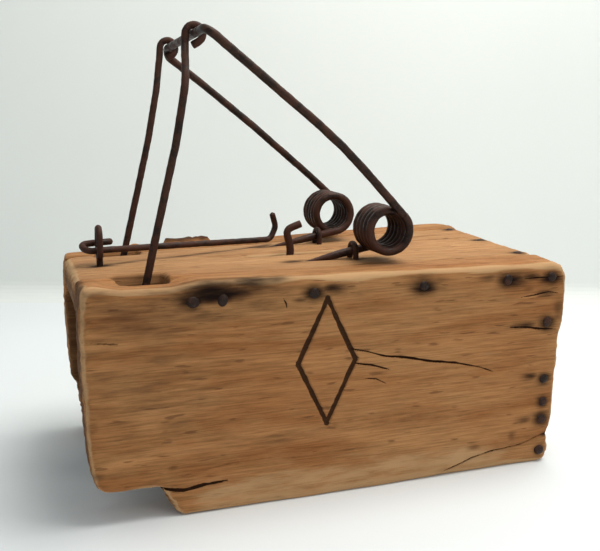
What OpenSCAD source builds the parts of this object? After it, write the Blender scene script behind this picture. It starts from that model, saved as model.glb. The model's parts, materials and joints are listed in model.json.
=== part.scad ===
// Box choker mouse trap: an open-bottomed wooden runway with a sprung wire bail that lifts a
// choker loop, a swivelling latch arm and a baited trigger wire.
// Origin: middle of the box at its base. +X runs to the closed end, +Y to the back, +Z up.

/* [Box] */
// Length of the box
box_l = 165; // [160:1:180]
// Width of the box across both side boards
box_w = 90.6; // [88:0.2:96]
// Height of the box
box_h = 75.6; // [74:0.2:82]
// Thickness of the side boards
side_t = 15.5; // [15:0.1:16]
// Thickness of the top board
top_t = 12; // [11:0.5:13]
// Thickness of the end board
end_t = 15.5; // [14:0.5:18]

/* [Slots] */
// Distance from the open end to the leg slots
slot_x = 11; // [10:0.1:11]
// Length of each leg slot
slot_l = 17.3; // [17:0.1:19]
// Half the gap between the inner edges of the two leg slots
slot_in_y = 23.6; // [23:0.1:24]
// Half the distance across the outer edges of the two leg slots
slot_out_y = 36.8; // [35:0.1:38]
// Width of the trigger slot
trigger_slot_w = 4.4; // [4:0.1:5]

/* [Nails] */
// Diameter of the nail heads
nail_head_d = 3.8; // [3.4:0.1:4.2]
// How far the nail heads stand proud of the wood
nail_proud = 0.4; // [0.2:0.1:0.6]
// Diameter of the nail shanks
nail_d = 1.8; // [1.6:0.1:2.2]
// Length of the nails under the head
nail_l = 27; // [24:1:30]

/* [Spring] */
// Diameter of the spring wire
spring_d = 2.8; // [2.6:0.1:2.9]
// Mean radius of the coils
coil_r = 7; // [6.8:0.1:7.2]
// Height of the coil axis above the box
coil_h = 11; // [10.8:0.1:11.4]
// Distance from the open end to the coil axis
coil_x = 104.5; // [103:0.5:106]
// Distance of each coil's middle from the centre line
coil_y = 26.4; // [26:0.1:26.7]
// Height of the bail's crossbar above the box at the centre line
cross_h = 74.8; // [74:0.1:76]
// Distance from the open end to the crossbar
cross_x = 41.6; // [41:0.1:42]
// Angle by which the crossbar falls towards the back
cross_tilt = 1.6; // [0:0.1:2]

/* [Choker] */
// Diameter of the choker wire
choker_d = 2.5; // [2.2:0.1:2.5]
// Distance of each choker leg from the centre line inside the box
choker_y = 27.4; // [27:0.1:27.6]
// Depth of the choker's bottom bar under the top of the box
choker_bar_h = 9.5; // [9:0.1:10]

/* [Latch and trigger] */
// Diameter of the latch wire
latch_d = 2.3; // [2:0.1:2.4]
// Reach of the latch arm from its eye
latch_reach = 75; // [70:1:76]
// Angle of the resting latch arm towards the back
latch_angle = 20; // [18:1:22]
// Diameter of the trigger wire
trigger_d = 2.8; // [2.6:0.1:3]
// Distance from the open end to the trigger's axle
trigger_x = 80; // [78:0.5:82]

/* [Hidden] */
$fn = 48;

wood = "#a0703c";
worn_wood = "#b98a52";
rusty = "#4a3026";
nail_rust = "#3a2a24";

// The open end and the front face
x0 = -box_l / 2;
y0 = -box_w / 2;
tunnel_y = box_w / 2 - side_t;
roof_z = box_h - top_t;

// Coil axis, crossbar and the corners of the bail
axis_x = x0 + coil_x;
axis_z = box_h + coil_h;
cross_px = x0 + cross_x;
coil_turn_pitch = spring_d + 0.06;
coil_whole_turns = 5;
bail_y = coil_y + 7.6;
bail_corner_r = 4;
bail_back_drop = 3;
leg_depth = coil_h - coil_r;

// The choker's eyes clear the crossbar by this much
eye_gap = 0.2;
eye_r = spring_d / 2 + choker_d / 2 + eye_gap;
front_eye_y = -16.5;
back_eye_y = 31;

// The latch turns in a pin at the open end
latch_px = x0 + 10.4;
latch_py = -2;
pin_d = 2.2;
pin_ring_r = 3;
pin_top = 13;
pin_fit = 0.06;
latch_axis_h = 5.1;
latch_rise = 0.9;
latch_eye_x = -4.4;
latch_return_x = 6.8;

// The trigger's axle lies just under the roof
trigger_px = x0 + trigger_x;
axle_d = 2;
axle_fit = 0.12;
trigger_eye_r = axle_d / 2 + trigger_d / 2 + axle_fit;
axle_z = roof_z - axle_d / 2;
axle_l = 26;

// Nail places: distances from the open end, and heights up the closed end
top_nail_xs = [33.6, 42.9, 72.7, 111.9, 144.3, 162.3];
end_nail_zs = [4.6, 16.6, 23.3, 32.2, 53.3];
end_nail_x = 161.3;
roof_nail_ys = [-26, 0, 26];
roof_nail_x = 160.2;
roof_nail_l = 20;

// Turn of a bend between neighbouring rings of a swept wire
bend_step = 18;

function unit(v) = v / norm(v);
function reversed(p) = [for (i = [len(p) - 1 : -1 : 0]) p[i]];

// Distance from a corner at which its bend begins
function bend_reach(a, p, b, r) =
    let (turn = 180 - acos(unit(a - p) * unit(b - p))) r * tan(turn / 2);

// The points of the round bend at corner p between a and b
function bend_points(a, p, b, r) =
    let (u = unit(a - p), w = unit(b - p), corner = acos(u * w), turn = 180 - corner,
         middle = p + unit(u + w) * (r / sin(corner / 2)),
         x = unit(p + u * bend_reach(a, p, b, r) - middle),
         steps = max(2, ceil(turn / bend_step)))
    [for (i = [0 : steps]) let (t = turn * i / steps) middle + r * (x * cos(t) - u * sin(t))];

// A route through corner points, each inner corner rounded to its own radius
function rounded(p, r) =
    let (last = len(p) - 1)
    concat([p[0]], [for (i = [1 : last - 1]) each bend_points(p[i - 1], p[i], p[i + 1], r[i])], [p[last]]);

// The direction of a route at its point i
function heading(p, i) = unit(p[min(i + 1, len(p) - 1)] - p[max(i - 1, 0)]);

// A normal carried along to a new direction without twisting
function carried(normal, z) = unit(normal - z * (normal * z));
function first_normal(z) = carried(abs(z[2]) < 0.9 ? [0, 0, 1] : [1, 0, 0], z);

// A round wire swept along a route
module wire(p, d, sides = 10) {
    last = len(p) - 1;
    normals = [for (i = 0, n = first_normal(heading(p, 0)); i <= last;
                    i = i + 1, n = i <= last ? carried(n, heading(p, i)) : n) n];
    points = [for (i = [0 : last], k = [0 : sides - 1])
        let (z = heading(p, i), n = normals[i], turn = 360 * k / sides)
        p[i] + d / 2 * (n * cos(turn) + cross(z, n) * sin(turn))];
    skin = [for (i = [0 : last - 1], k = [0 : sides - 1])
        let (next = (k + 1) % sides)
        [i * sides + k, (i + 1) * sides + k, (i + 1) * sides + next, i * sides + next]];
    first_cap = [for (k = [0 : sides - 1]) k];
    last_cap = [for (k = [sides - 1 : -1 : 0]) last * sides + k];
    polyhedron(points = points, faces = concat([first_cap], skin, [last_cap]), convexity = 10);
}

// ---------- the wooden box ----------

// The scoop in a side board's top inner edge that the choker leg moves in
module leg_slot() {
    round_r = 6;
    depth = slot_out_y - slot_in_y;
    translate([x0 + slot_x + round_r, slot_in_y, roof_z - 1])
        cube([slot_l - round_r, depth, top_t + 2]);
    translate([x0 + slot_x, slot_in_y, roof_z - 1]) cube([round_r + 1, depth - round_r, top_t + 2]);
    translate([x0 + slot_x + round_r, slot_out_y - round_r, roof_z - 1])
        cylinder(h = top_t + 2, r = round_r);
}

// A broken-away lower corner, drawn on the side view of the box
module broken_corner(outline) {
    translate([x0, 0, 0]) rotate([90, 0, 0])
        linear_extrude(height = 2 * side_t + 4, center = true) polygon(outline);
}

// A lozenge scratched into the front with a knife, standing in for the owner's mark
module knife_lozenge() {
    middle = [x0 + 77.5, y0, 46.5];
    half_w = 10;
    half_h = 21;
    cut = 1.2;
    reach = norm([half_w, half_h]);
    lean = atan2(half_w, half_h);
    for (side = [-1, 1], up = [-1, 1])
        translate(middle + [side * half_w / 2, 0, up * half_h / 2])
            rotate([0, -side * up * lean, 0]) cube([cut, 2 * cut, reach], center = true);
}

module side_board_blank() {
    translate([x0, -box_w / 2, 0]) cube([box_l, side_t, box_h]);
}

module front_side_board() {
    color(wood) difference() {
        side_board_blank();
        mirror([0, 1, 0]) leg_slot();
        translate([0, y0 + side_t / 2, 0])
            broken_corner([[-1, -1], [-1, 14.5], [0.6, 14], [2, 11.6], [4.6, 10.6], [23.4, 10.4],
                           [24.6, 6.4], [28, 0], [28, -1]]);
        knife_lozenge();
    }
}

module back_side_board() {
    color(wood) difference() {
        mirror([0, 1, 0]) side_board_blank();
        leg_slot();
        translate([0, box_w / 2 - side_t / 2, 0])
            broken_corner([[-1, -1], [-1, 25], [1.5, 24], [3.5, 19], [4.5, 6], [7, 0], [7, -1]]);
    }
}

module top_board() {
    bar_x = x0 + 20.6;
    groove_w = 11;
    groove_h = 5;
    color(worn_wood) difference() {
        translate([x0, -tunnel_y, roof_z]) cube([box_l, 2 * tunnel_y, top_t]);
        leg_slot();
        mirror([0, 1, 0]) leg_slot();
        // Groove in the roof that the choker's bar rises into
        translate([bar_x - groove_w + 3, -tunnel_y - 1, roof_z - 1])
            cube([groove_w, 2 * tunnel_y + 2, groove_h + 1]);
        translate([x0 + 62.6, -trigger_slot_w / 2, roof_z - 1])
            cube([38.4, trigger_slot_w, top_t + 2]);
        // Pocket under the slot for the trigger's eye
        translate([trigger_px - 7, -trigger_slot_w / 2 - 0.2, roof_z - 1]) cube([14, 8, 5.6]);
        translate([latch_px, latch_py, roof_z - 1]) cylinder(h = top_t + 2, d = pin_d + 2 * pin_fit);
        // Recesses that let the trigger's axle lie against the roof
        translate([trigger_px, 0, axle_z]) rotate([90, 0, 0])
            cylinder(h = axle_l + 1, d = axle_d + 0.1, center = true);
    }
}

module end_board() {
    color(wood) translate([-x0 - end_t, -tunnel_y, 0]) cube([end_t, 2 * tunnel_y, roof_z]);
}

// ---------- nails and staples ----------

// A nail driven along -Z with its head's underside just in the wood
module nail(long = nail_l) {
    head_h = 1;
    dome_r = 4;
    intersection() {
        translate([0, 0, nail_proud - head_h]) cylinder(h = head_h, d = nail_head_d);
        translate([0, 0, nail_proud - dome_r]) sphere(r = dome_r);
    }
    translate([0, 0, -long]) cylinder(h = long - 0.3, d = nail_d);
}

module side_top_nails() {
    for (x = top_nail_xs)
        translate([x0 + x, y0, roof_z + top_t / 2]) rotate([90, 0, 0]) nail();
}

module side_end_nails() {
    for (z = end_nail_zs)
        translate([x0 + end_nail_x, y0, z]) rotate([90, 0, 0]) nail();
}

module front_top_nails() { color(nail_rust) side_top_nails(); }
module front_end_nails() { color(nail_rust) side_end_nails(); }
module back_top_nails() { color(nail_rust) mirror([0, 1, 0]) side_top_nails(); }
module back_end_nails() { color(nail_rust) mirror([0, 1, 0]) side_end_nails(); }

module top_end_nails() {
    color(nail_rust) for (y = roof_nail_ys)
        translate([x0 + roof_nail_x, y, box_h]) nail(roof_nail_l);
}

// A wire staple over the Y direction: its crown's middle line is at height h
module staple(half_w, h, depth, d) {
    corner_r = half_w - 0.2;
    wire(rounded([[0, -half_w, -depth], [0, -half_w, h], [0, half_w, h], [0, half_w, -depth]],
                 [0, corner_r, corner_r, 0]), d);
}

staple_d = 2;
staple_half_w = spring_d / 2 + staple_d / 2 + 0.25;
staple_x = x0 + 97;

// The middle of a coil's fixed leg where its staple holds it
function fixed_leg_at(x) =
    let (t = (axis_x - x) / fixed_leg_run)
    [x, coil_inner_y + (fixed_leg_end_y - coil_inner_y) * t, box_h + leg_depth - (leg_depth + 1.5) * t];

module leg_staple() {
    p = fixed_leg_at(staple_x);
    translate([staple_x, p[1], box_h])
        staple(staple_half_w, p[2] - box_h + spring_d / 2 + staple_d / 2 + 0.15, 9, staple_d);
}

module front_leg_staple() { color(rusty) mirror([0, 1, 0]) leg_staple(); }
module back_leg_staple() { color(rusty) leg_staple(); }

// ---------- the spring ----------

// Where the bail's arm leaves the coil, as an angle round the axis
arm_angle = let (dx = cross_px - axis_x, dz = box_h + cross_h - axis_z, reach = norm([dx, dz]))
    atan2(dz, dx) - acos(coil_r / reach);
coil_sweep = arm_angle + 90 + 360 * coil_whole_turns;
coil_len = coil_turn_pitch * coil_sweep / 360;
coil_outer_y = coil_y + coil_len / 2;
coil_inner_y = coil_y - coil_len / 2;
fixed_leg_run = 28;
fixed_leg_end_y = 18.5;

// The coil's wire runs on into the arm, and ends just short of the bail's own wire
coil_end = [axis_x + coil_r * cos(arm_angle), coil_outer_y, axis_z + coil_r * sin(arm_angle)];
arm_way = unit([cross_px, bail_y, box_h + cross_h] - coil_end);
coil_run_on = 0.4;
arm_gap = 0.1;

// The middle line of a coil's turns, from its fixed leg to the bail's arm
function coil_points() =
    let (steps = ceil(coil_sweep / bend_step))
    [for (i = [0 : steps]) let (t = i / steps, a = coil_sweep * t - 90)
        [axis_x + coil_r * cos(a), coil_inner_y + coil_len * t, axis_z + coil_r * sin(a)]];

// One coil with the fixed leg that dives into the top board
module coil() {
    wire(concat([fixed_leg_at(axis_x - fixed_leg_run)], coil_points(), [coil_end + arm_way * coil_run_on]),
         spring_d);
}

module front_coil() { color(rusty) mirror([0, 1, 0]) coil(); }
module back_coil() { color(rusty) coil(); }

// The crossbar falls a little towards the back
function cross_z(y) = box_h + cross_h - y * tan(cross_tilt);

// The sprung frame: an arm up from each coil and the crossbar between them
module spring_bail() {
    back_foot = coil_end + arm_way * (coil_run_on + arm_gap);
    front_foot = [back_foot[0], -back_foot[1], back_foot[2]];
    front_corner = [cross_px, -bail_y, cross_z(-bail_y)];
    back_corner = [cross_px, bail_y, cross_z(bail_y)];
    back_bend = back_corner - [-0.6, 0, bail_back_drop];
    color(rusty) wire(rounded([front_foot, front_corner, back_corner, back_bend, back_foot],
                              [0, bail_corner_r, 1.5, 1.5, 0]), spring_d);
}

// ---------- the choker ----------

// One leg of the choker from its eye on the crossbar down to the bottom bar
function choker_leg(eye_y, side) =
    let (top = cross_z(eye_y), drop_h = box_h)
    [[cross_px - eye_r, eye_y, top],
     [cross_px - eye_r - 0.2, eye_y, top - 3],
     [cross_px - eye_r - 2.4, side * choker_y, top - 15.5],
     [x0 + 32.9, side * choker_y, drop_h + 41],
     [x0 + 20.6, side * choker_y, drop_h - choker_bar_h]];

// The eye over the crossbar, from the cut tip round to the top of the leg
function choker_eye(eye_y) =
    let (hook_turn = 240, tip_l = 2.2, steps = hook_turn / bend_step, first = 180 - hook_turn,
         middle = [cross_px, eye_y, cross_z(eye_y)])
    concat([middle + eye_r * [cos(first), 0, sin(first)] + tip_l * [sin(first), 0, -cos(first)]],
           [for (i = [0 : steps]) let (a = first + hook_turn * i / steps)
               middle + eye_r * [cos(a), 0, sin(a)]]);

module choker() {
    front = choker_leg(front_eye_y, -1);
    back = choker_leg(back_eye_y, 1);
    loop = rounded(concat(front, reversed(back)), [0, 4, 8, 60, 3, 3, 60, 8, 4, 0]);
    color(rusty) wire(concat(choker_eye(front_eye_y), [for (i = [1 : len(loop) - 2]) loop[i]],
                             reversed(choker_eye(back_eye_y))), choker_d);
}

// ---------- the latch ----------

// The eye pin turns in a hole in the top board: a long ring on a straight shank
module latch_eye_pin() {
    low = pin_d / 2 + pin_ring_r + 0.4;
    high = pin_top - pin_d / 2 - pin_ring_r;
    color(rusty) translate([latch_px, latch_py, box_h]) {
        for (end = [[high, 0], [low, 180]])
            translate([0, 0, end[0]]) rotate([90, end[1], 90])
                rotate_extrude(angle = 180) translate([pin_ring_r, 0]) circle(d = pin_d);
        for (side = [-1, 1])
            translate([0, side * pin_ring_r, low]) cylinder(h = high - low, d = pin_d);
        translate([0, 0, 0.5 - top_t]) cylinder(h = top_t + low - pin_ring_r - 0.5, d = pin_d);
    }
}

// The arm's wire, drawn along +X from the pin: a hook round the eye's far side, then the arm
module latch_arm() {
    hook_y = pin_ring_r + pin_d / 2 + latch_d / 2 + 0.35;
    arm_z = latch_axis_h - latch_rise;
    hook_z = latch_axis_h + latch_rise;
    tip_z = latch_d / 2 + 0.25;
    color(rusty) translate([latch_px, latch_py, box_h]) rotate([0, 0, latch_angle])
        wire(rounded([[latch_return_x, hook_y, hook_z], [latch_eye_x, hook_y, hook_z],
                      [latch_eye_x, 0, arm_z], [2, 0, arm_z],
                      [latch_reach - 2, 0, tip_z], [latch_reach + 0.5, 0, tip_z + 5],
                      [latch_reach - 1, 0, tip_z + 9.5]], [0, 2.7, 2.7, 20, 3, 3, 0]), latch_d);
}

// ---------- the trigger ----------

// One full turn of the trigger's wire round its axle, from above to below
function axle_turn() =
    let (steps = 360 / bend_step, shift = trigger_d + 0.1)
    [for (i = [0 : steps]) let (a = 180 + 360 * i / steps)
        [trigger_px + trigger_eye_r * cos(a), shift * i / steps, axle_z + trigger_eye_r * sin(a)]];

// The trigger wire: a catch above the roof, an eye on the axle and a bait hook below
module trigger_wire() {
    turn = axle_turn();
    first = turn[0];
    last = turn[len(turn) - 1];
    catch = rounded([[trigger_px + 3.6, 0, box_h + 10.2], [trigger_px - 2.2, 0, box_h + 8.2],
                     [trigger_px + 0.2, 0, box_h + 0.5], first + [0, 0, 5], first], [0, 2.4, 12, 12, 0]);
    bait = rounded([last, last - [0, 0, 28], last - [8, 0, 31], last - [10, 0, 24]], [0, 4, 3, 0]);
    color(rusty) wire(concat([for (i = [0 : len(catch) - 2]) catch[i]], turn,
                             [for (i = [1 : len(bait) - 1]) bait[i]]), trigger_d);
}

module trigger_axle() {
    color(rusty) translate([trigger_px, 0, axle_z]) rotate([90, 0, 0])
        cylinder(h = axle_l, d = axle_d, center = true);
}

// Two small staples driven up into the roof hold the axle
module axle_staples() {
    small_d = 1.4;
    half_w = axle_d / 2 + small_d / 2 + 0.1;
    hang = axle_d + small_d / 2 + 0.1;
    color(rusty) for (side = [-1, 1])
        translate([trigger_px, side * 9, roof_z]) rotate([180, 0, 90]) staple(half_w, hang, 8, small_d);
}

front_side_board();
back_side_board();
top_board();
end_board();
front_top_nails();
front_end_nails();
back_top_nails();
back_end_nails();
top_end_nails();
front_coil();
back_coil();
spring_bail();
front_leg_staple();
back_leg_staple();
choker();
latch_eye_pin();
latch_arm();
trigger_wire();
trigger_axle();
axle_staples();
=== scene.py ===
import json
import math

import bmesh
import bpy
import numpy as np
from mathutils import Matrix, Vector


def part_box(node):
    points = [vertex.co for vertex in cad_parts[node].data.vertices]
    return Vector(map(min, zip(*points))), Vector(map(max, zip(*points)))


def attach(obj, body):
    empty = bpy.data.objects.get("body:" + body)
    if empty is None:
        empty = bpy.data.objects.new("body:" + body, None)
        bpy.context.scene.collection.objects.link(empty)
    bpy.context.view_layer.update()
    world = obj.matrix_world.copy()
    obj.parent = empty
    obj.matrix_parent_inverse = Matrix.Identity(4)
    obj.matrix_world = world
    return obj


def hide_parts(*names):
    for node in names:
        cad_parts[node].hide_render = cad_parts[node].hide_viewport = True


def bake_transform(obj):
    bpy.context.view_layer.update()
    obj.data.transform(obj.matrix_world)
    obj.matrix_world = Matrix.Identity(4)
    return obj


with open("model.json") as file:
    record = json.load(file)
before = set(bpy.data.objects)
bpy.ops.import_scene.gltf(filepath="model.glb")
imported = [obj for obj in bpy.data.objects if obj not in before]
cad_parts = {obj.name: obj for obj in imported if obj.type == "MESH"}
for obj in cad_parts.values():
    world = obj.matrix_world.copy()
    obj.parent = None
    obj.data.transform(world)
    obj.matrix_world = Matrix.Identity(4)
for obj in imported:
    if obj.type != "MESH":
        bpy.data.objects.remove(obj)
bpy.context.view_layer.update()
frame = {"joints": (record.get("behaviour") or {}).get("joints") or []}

bl_info = {
    "name": "Box Choker Mouse Trap",
    "version": (1, 0, 0),
    "blender": (4, 5, 0),
    "location": "View3D > Sidebar > Mouse Trap",
    "description": "Builds the worn wooden runway, its rusty spring wires and the stage they stand on",
    "category": "Add Mesh",
}

# Lengths are in millimetres while a piece is made, and in metres once it is an object
MM = 0.001
joints = {j["name"]: j for j in frame["joints"]}


def node_box(node):
    """Lowest and highest corner of a CAD node, in millimetres."""
    low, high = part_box(node)
    return np.array(low) / MM, np.array(high) / MM


def joint_place(name):
    return np.array(joints[name]["pos_m"]) / MM


FRONT_LOW, FRONT_HIGH = node_box("front_side_board")
BACK_LOW, BACK_HIGH = node_box("back_side_board")
TOP_LOW, TOP_HIGH = node_box("top_board")
END_LOW, END_HIGH = node_box("end_board")
LEFT, FRONT = FRONT_LOW[0], FRONT_LOW[1]
RIGHT, BACK, TOP = FRONT_HIGH[0], BACK_HIGH[1], TOP_HIGH[2]
LENGTH = RIGHT - LEFT
ROOF = TOP_LOW[2]
COIL_AXIS = joint_place("bail_press")
CROSS = joint_place("choker_hang")
PIN = joint_place("latch_swing")
AXLE = joint_place("trigger_swing")


# ---------- what a user may change ----------

class BoardLooks(bpy.types.PropertyGroup):
    """Colours, wear and mesh of the wooden boards"""
    pale_wood: bpy.props.FloatVectorProperty(
        name="Pale Wood", description="Colour between the growth rings", subtype="COLOR",
        size=3, min=0.0, max=1.0, default=(0.415, 0.192, 0.073))
    dark_wood: bpy.props.FloatVectorProperty(
        name="Dark Wood", description="Colour of the growth rings", subtype="COLOR",
        size=3, min=0.0, max=1.0, default=(0.280, 0.110, 0.036))
    worn_wood: bpy.props.FloatVectorProperty(
        name="Worn Wood", description="Colour of rubbed edges and of the top", subtype="COLOR",
        size=3, min=0.0, max=1.0, default=(0.53, 0.335, 0.170))
    iron_stain: bpy.props.FloatVectorProperty(
        name="Iron Stain", description="Colour of the wood round a rusty nail", subtype="COLOR",
        size=3, min=0.0, max=1.0, default=(0.010, 0.0045, 0.003))
    mesh_cell: bpy.props.FloatProperty(
        name="Mesh Cell", description="Spacing of the points on a board", unit="LENGTH",
        min=0.0006, max=0.003, precision=5, default=0.00078)
    edge_wear: bpy.props.IntProperty(
        name="Edge Wear", description="Rounds of smoothing that wear a board's edges",
        min=0, max=80, default=26)
    relief: bpy.props.FloatProperty(
        name="Grain Relief", description="Depth of the weathered grain", unit="LENGTH",
        min=0.0, max=0.001, precision=5, default=0.00016)


class WireLooks(bpy.types.PropertyGroup):
    """Colours and pitting of the iron wires and nails"""
    iron: bpy.props.FloatVectorProperty(
        name="Old Iron", description="Colour of the handled iron", subtype="COLOR",
        size=3, min=0.0, max=1.0, default=(0.020, 0.012, 0.009))
    rust: bpy.props.FloatVectorProperty(
        name="Rust", description="Colour of the rust blooms", subtype="COLOR",
        size=3, min=0.0, max=1.0, default=(0.062, 0.022, 0.012))
    pitting: bpy.props.FloatProperty(
        name="Pitting", description="Depth of the rust pits in a wire", unit="LENGTH",
        min=0.0, max=0.0004, precision=5, default=0.00007)
    ring_step: bpy.props.FloatProperty(
        name="Ring Spacing", description="Distance between the rings of a wire's mesh",
        unit="LENGTH", min=0.0004, max=0.003, precision=5, default=0.0007)


class StageLooks(bpy.types.PropertyGroup):
    """The pale table, its backdrop and the light"""
    table: bpy.props.FloatVectorProperty(
        name="Table", description="Colour of the table", subtype="COLOR",
        size=3, min=0.0, max=1.0, default=(0.80, 0.84, 0.85))
    wall: bpy.props.FloatVectorProperty(
        name="Wall", description="Colour of the backdrop", subtype="COLOR",
        size=3, min=0.0, max=1.0, default=(0.80, 0.83, 0.80))
    table_reach: bpy.props.FloatProperty(
        name="Table Reach", description="Distance from the camera to the backdrop",
        unit="LENGTH", min=0.3, max=2.0, default=0.551)
    key_power: bpy.props.FloatProperty(
        name="Key Light", description="Power of the large lamp above", unit="POWER",
        min=0.0, max=50.0, default=2.5)
    sky: bpy.props.FloatProperty(
        name="Room Light", description="Strength of the light from all round",
        min=0.0, max=3.0, default=0.43)


# ---------- smooth random values ----------

LATTICE = np.random.default_rng(11).random((32, 32, 32))


def drift(places, size, seed=0):
    """Smooth random values from -1 to 1 at each place, whose features have that size."""
    q = places / np.asarray(size, float) + 7.31 * seed + 100.0
    cell = np.floor(q).astype(int)
    part = q - cell
    part = part * part * (3 - 2 * part)
    total = np.zeros(len(places))
    for corner in np.ndindex(2, 2, 2):
        share = np.prod(np.where(corner, part, 1 - part), axis=1)
        at = (cell + corner) % 32
        total += share * LATTICE[at[:, 0], at[:, 1], at[:, 2]]
    return 2 * total - 1


def ease(value, low, high):
    """0 below low, 1 above high and a smooth step between them."""
    t = np.clip((value - low) / (high - low), 0, 1)
    return t * t * (3 - 2 * t)


# ---------- shader helpers ----------

def add(tree, kind, inputs=None, **settings):
    """Adds a node, sets its properties, and sets or links its inputs."""
    node = tree.nodes.new(kind)
    for key, value in settings.items():
        setattr(node, key, value)
    for key, value in (inputs or {}).items():
        if isinstance(value, bpy.types.NodeSocket):
            tree.links.new(value, node.inputs[key])
        else:
            node.inputs[key].default_value = value
    return node


def calc(tree, operation, a, b=0.0, clamp=False):
    node = add(tree, "ShaderNodeMath", {0: a, 1: b}, operation=operation, use_clamp=clamp)
    return node.outputs[0]


def stretch(tree, vector, scale):
    return add(tree, "ShaderNodeVectorMath", {0: vector, 1: scale}, operation="MULTIPLY").outputs[0]


def cloud(tree, vector, scale, detail=2.0, roughness=0.5):
    """Noise from 0 to 1."""
    inputs = {"Vector": vector, "Scale": scale, "Detail": detail, "Roughness": roughness}
    return add(tree, "ShaderNodeTexNoise", inputs).outputs[0]


def spread(tree, value, low, high, new_low=0.0, new_high=1.0):
    """Maps a value's range onto another one, clamped."""
    inputs = {"Value": value, "From Min": low, "From Max": high,
              "To Min": new_low, "To Max": new_high}
    return add(tree, "ShaderNodeMapRange", inputs, interpolation_type="SMOOTHSTEP").outputs[0]


def tint(tree, factor, first, second, mode="MIX"):
    """Mixes two colours."""
    node = add(tree, "ShaderNodeMix", {0: factor, 6: first, 7: second},
               data_type="RGBA", blend_type=mode)
    return node.outputs[2]


def painted(tree, name):
    """A value painted on the mesh's points."""
    return add(tree, "ShaderNodeAttribute", attribute_name=name).outputs["Fac"]


def rgba(colour, shade=1.0):
    return (*[c * shade for c in colour], 1.0)


def new_group(name, inputs, outputs):
    """A shader node group with named inputs and outputs."""
    tree = bpy.data.node_groups.new(name, "ShaderNodeTree")
    for label, kind, value in inputs:
        socket = tree.interface.new_socket(label, in_out="INPUT", socket_type=kind)
        socket.default_value = value
    for label, kind in outputs:
        tree.interface.new_socket(label, in_out="OUTPUT", socket_type=kind)
    return tree, tree.nodes.new("NodeGroupInput").outputs, tree.nodes.new("NodeGroupOutput")


def finish_group(tree, end, results):
    for label, socket in results.items():
        tree.links.new(socket, end.inputs[label])
    return tree


def plank_grain():
    """Growth rings, fibres, patches and their height, for a board cut along X."""
    if "Plank Grain" in bpy.data.node_groups:
        return bpy.data.node_groups["Plank Grain"]
    tree, given, end = new_group(
        "Plank Grain",
        [("Heart", "NodeSocketVector", (0.0, 0.03, -0.08)),
         ("Rings per Metre", "NodeSocketFloat", 260.0),
         ("Waviness", "NodeSocketFloat", 0.012)],
        [("Rings", "NodeSocketFloat"), ("Fibres", "NodeSocketFloat"),
         ("Patches", "NodeSocketFloat"), ("Pores", "NodeSocketFloat"),
         ("Height", "NodeSocketFloat")])
    place = add(tree, "ShaderNodeTexCoord").outputs["Object"]
    sway = cloud(tree, stretch(tree, place, (9.0, 30.0, 30.0)), 1.0, 2.0, 0.45)
    shake = cloud(tree, stretch(tree, place, (22.0, 160.0, 160.0)), 1.0, 2.0, 0.5)
    out = add(tree, "ShaderNodeVectorMath", {0: place, 1: given["Heart"]}, operation="SUBTRACT")
    flat = stretch(tree, out.outputs[0], (0.0, 1.0, 1.0))
    radius = add(tree, "ShaderNodeVectorMath", {0: flat}, operation="LENGTH").outputs["Value"]
    offset = calc(tree, "MULTIPLY", calc(tree, "SUBTRACT", sway, 0.5), given["Waviness"])
    fine = calc(tree, "MULTIPLY", calc(tree, "SUBTRACT", shake, 0.5), 0.0022)
    depth = calc(tree, "ADD", calc(tree, "ADD", radius, offset), fine)
    count = calc(tree, "MULTIPLY", depth, given["Rings per Metre"])
    rings = add(tree, "ShaderNodeTexNoise", {"W": count, "Scale": 1.0, "Detail": 2.0,
                                             "Roughness": 0.6}, noise_dimensions="1D").outputs[0]
    fibres = cloud(tree, stretch(tree, place, (60.0, 1500.0, 1500.0)), 1.0, 4.0, 0.7)
    patches = cloud(tree, stretch(tree, place, (20.0, 60.0, 60.0)), 1.0, 5.0, 0.68)
    dashes = cloud(tree, stretch(tree, place, (130.0, 900.0, 900.0)), 1.0, 1.0, 0.4)
    pores = spread(tree, dashes, 0.66, 0.76)
    ridge = calc(tree, "ADD", calc(tree, "MULTIPLY", fibres, 0.6), calc(tree, "MULTIPLY", rings, 0.4))
    height = calc(tree, "SUBTRACT", ridge, calc(tree, "MULTIPLY", pores, 0.5))
    return finish_group(tree, end, {"Rings": spread(tree, rings, 0.22, 0.78), "Fibres": fibres,
                                    "Patches": patches, "Pores": pores, "Height": height})


def ragged_mask():
    """Turns a smooth painted value into a ragged patch that follows the grain."""
    if "Ragged Mask" in bpy.data.node_groups:
        return bpy.data.node_groups["Ragged Mask"]
    tree, given, end = new_group(
        "Ragged Mask",
        [("Paint", "NodeSocketFloat", 0.0), ("Raggedness", "NodeSocketFloat", 0.6),
         ("Start", "NodeSocketFloat", 0.2), ("Full", "NodeSocketFloat", 0.8)],
        [("Mask", "NodeSocketFloat")])
    place = add(tree, "ShaderNodeTexCoord").outputs["Object"]
    long_streaks = cloud(tree, stretch(tree, place, (60.0, 330.0, 330.0)), 1.0, 3.0, 0.6)
    lift = calc(tree, "MULTIPLY", calc(tree, "SUBTRACT", long_streaks, 0.5), given["Raggedness"])
    level = calc(tree, "ADD", given["Paint"], calc(tree, "MULTIPLY", lift, 1.6))
    inputs = {"Value": level, "From Min": given["Start"], "From Max": given["Full"]}
    mask = add(tree, "ShaderNodeMapRange", inputs, interpolation_type="SMOOTHSTEP").outputs[0]
    return finish_group(tree, end, {"Mask": mask})


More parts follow.
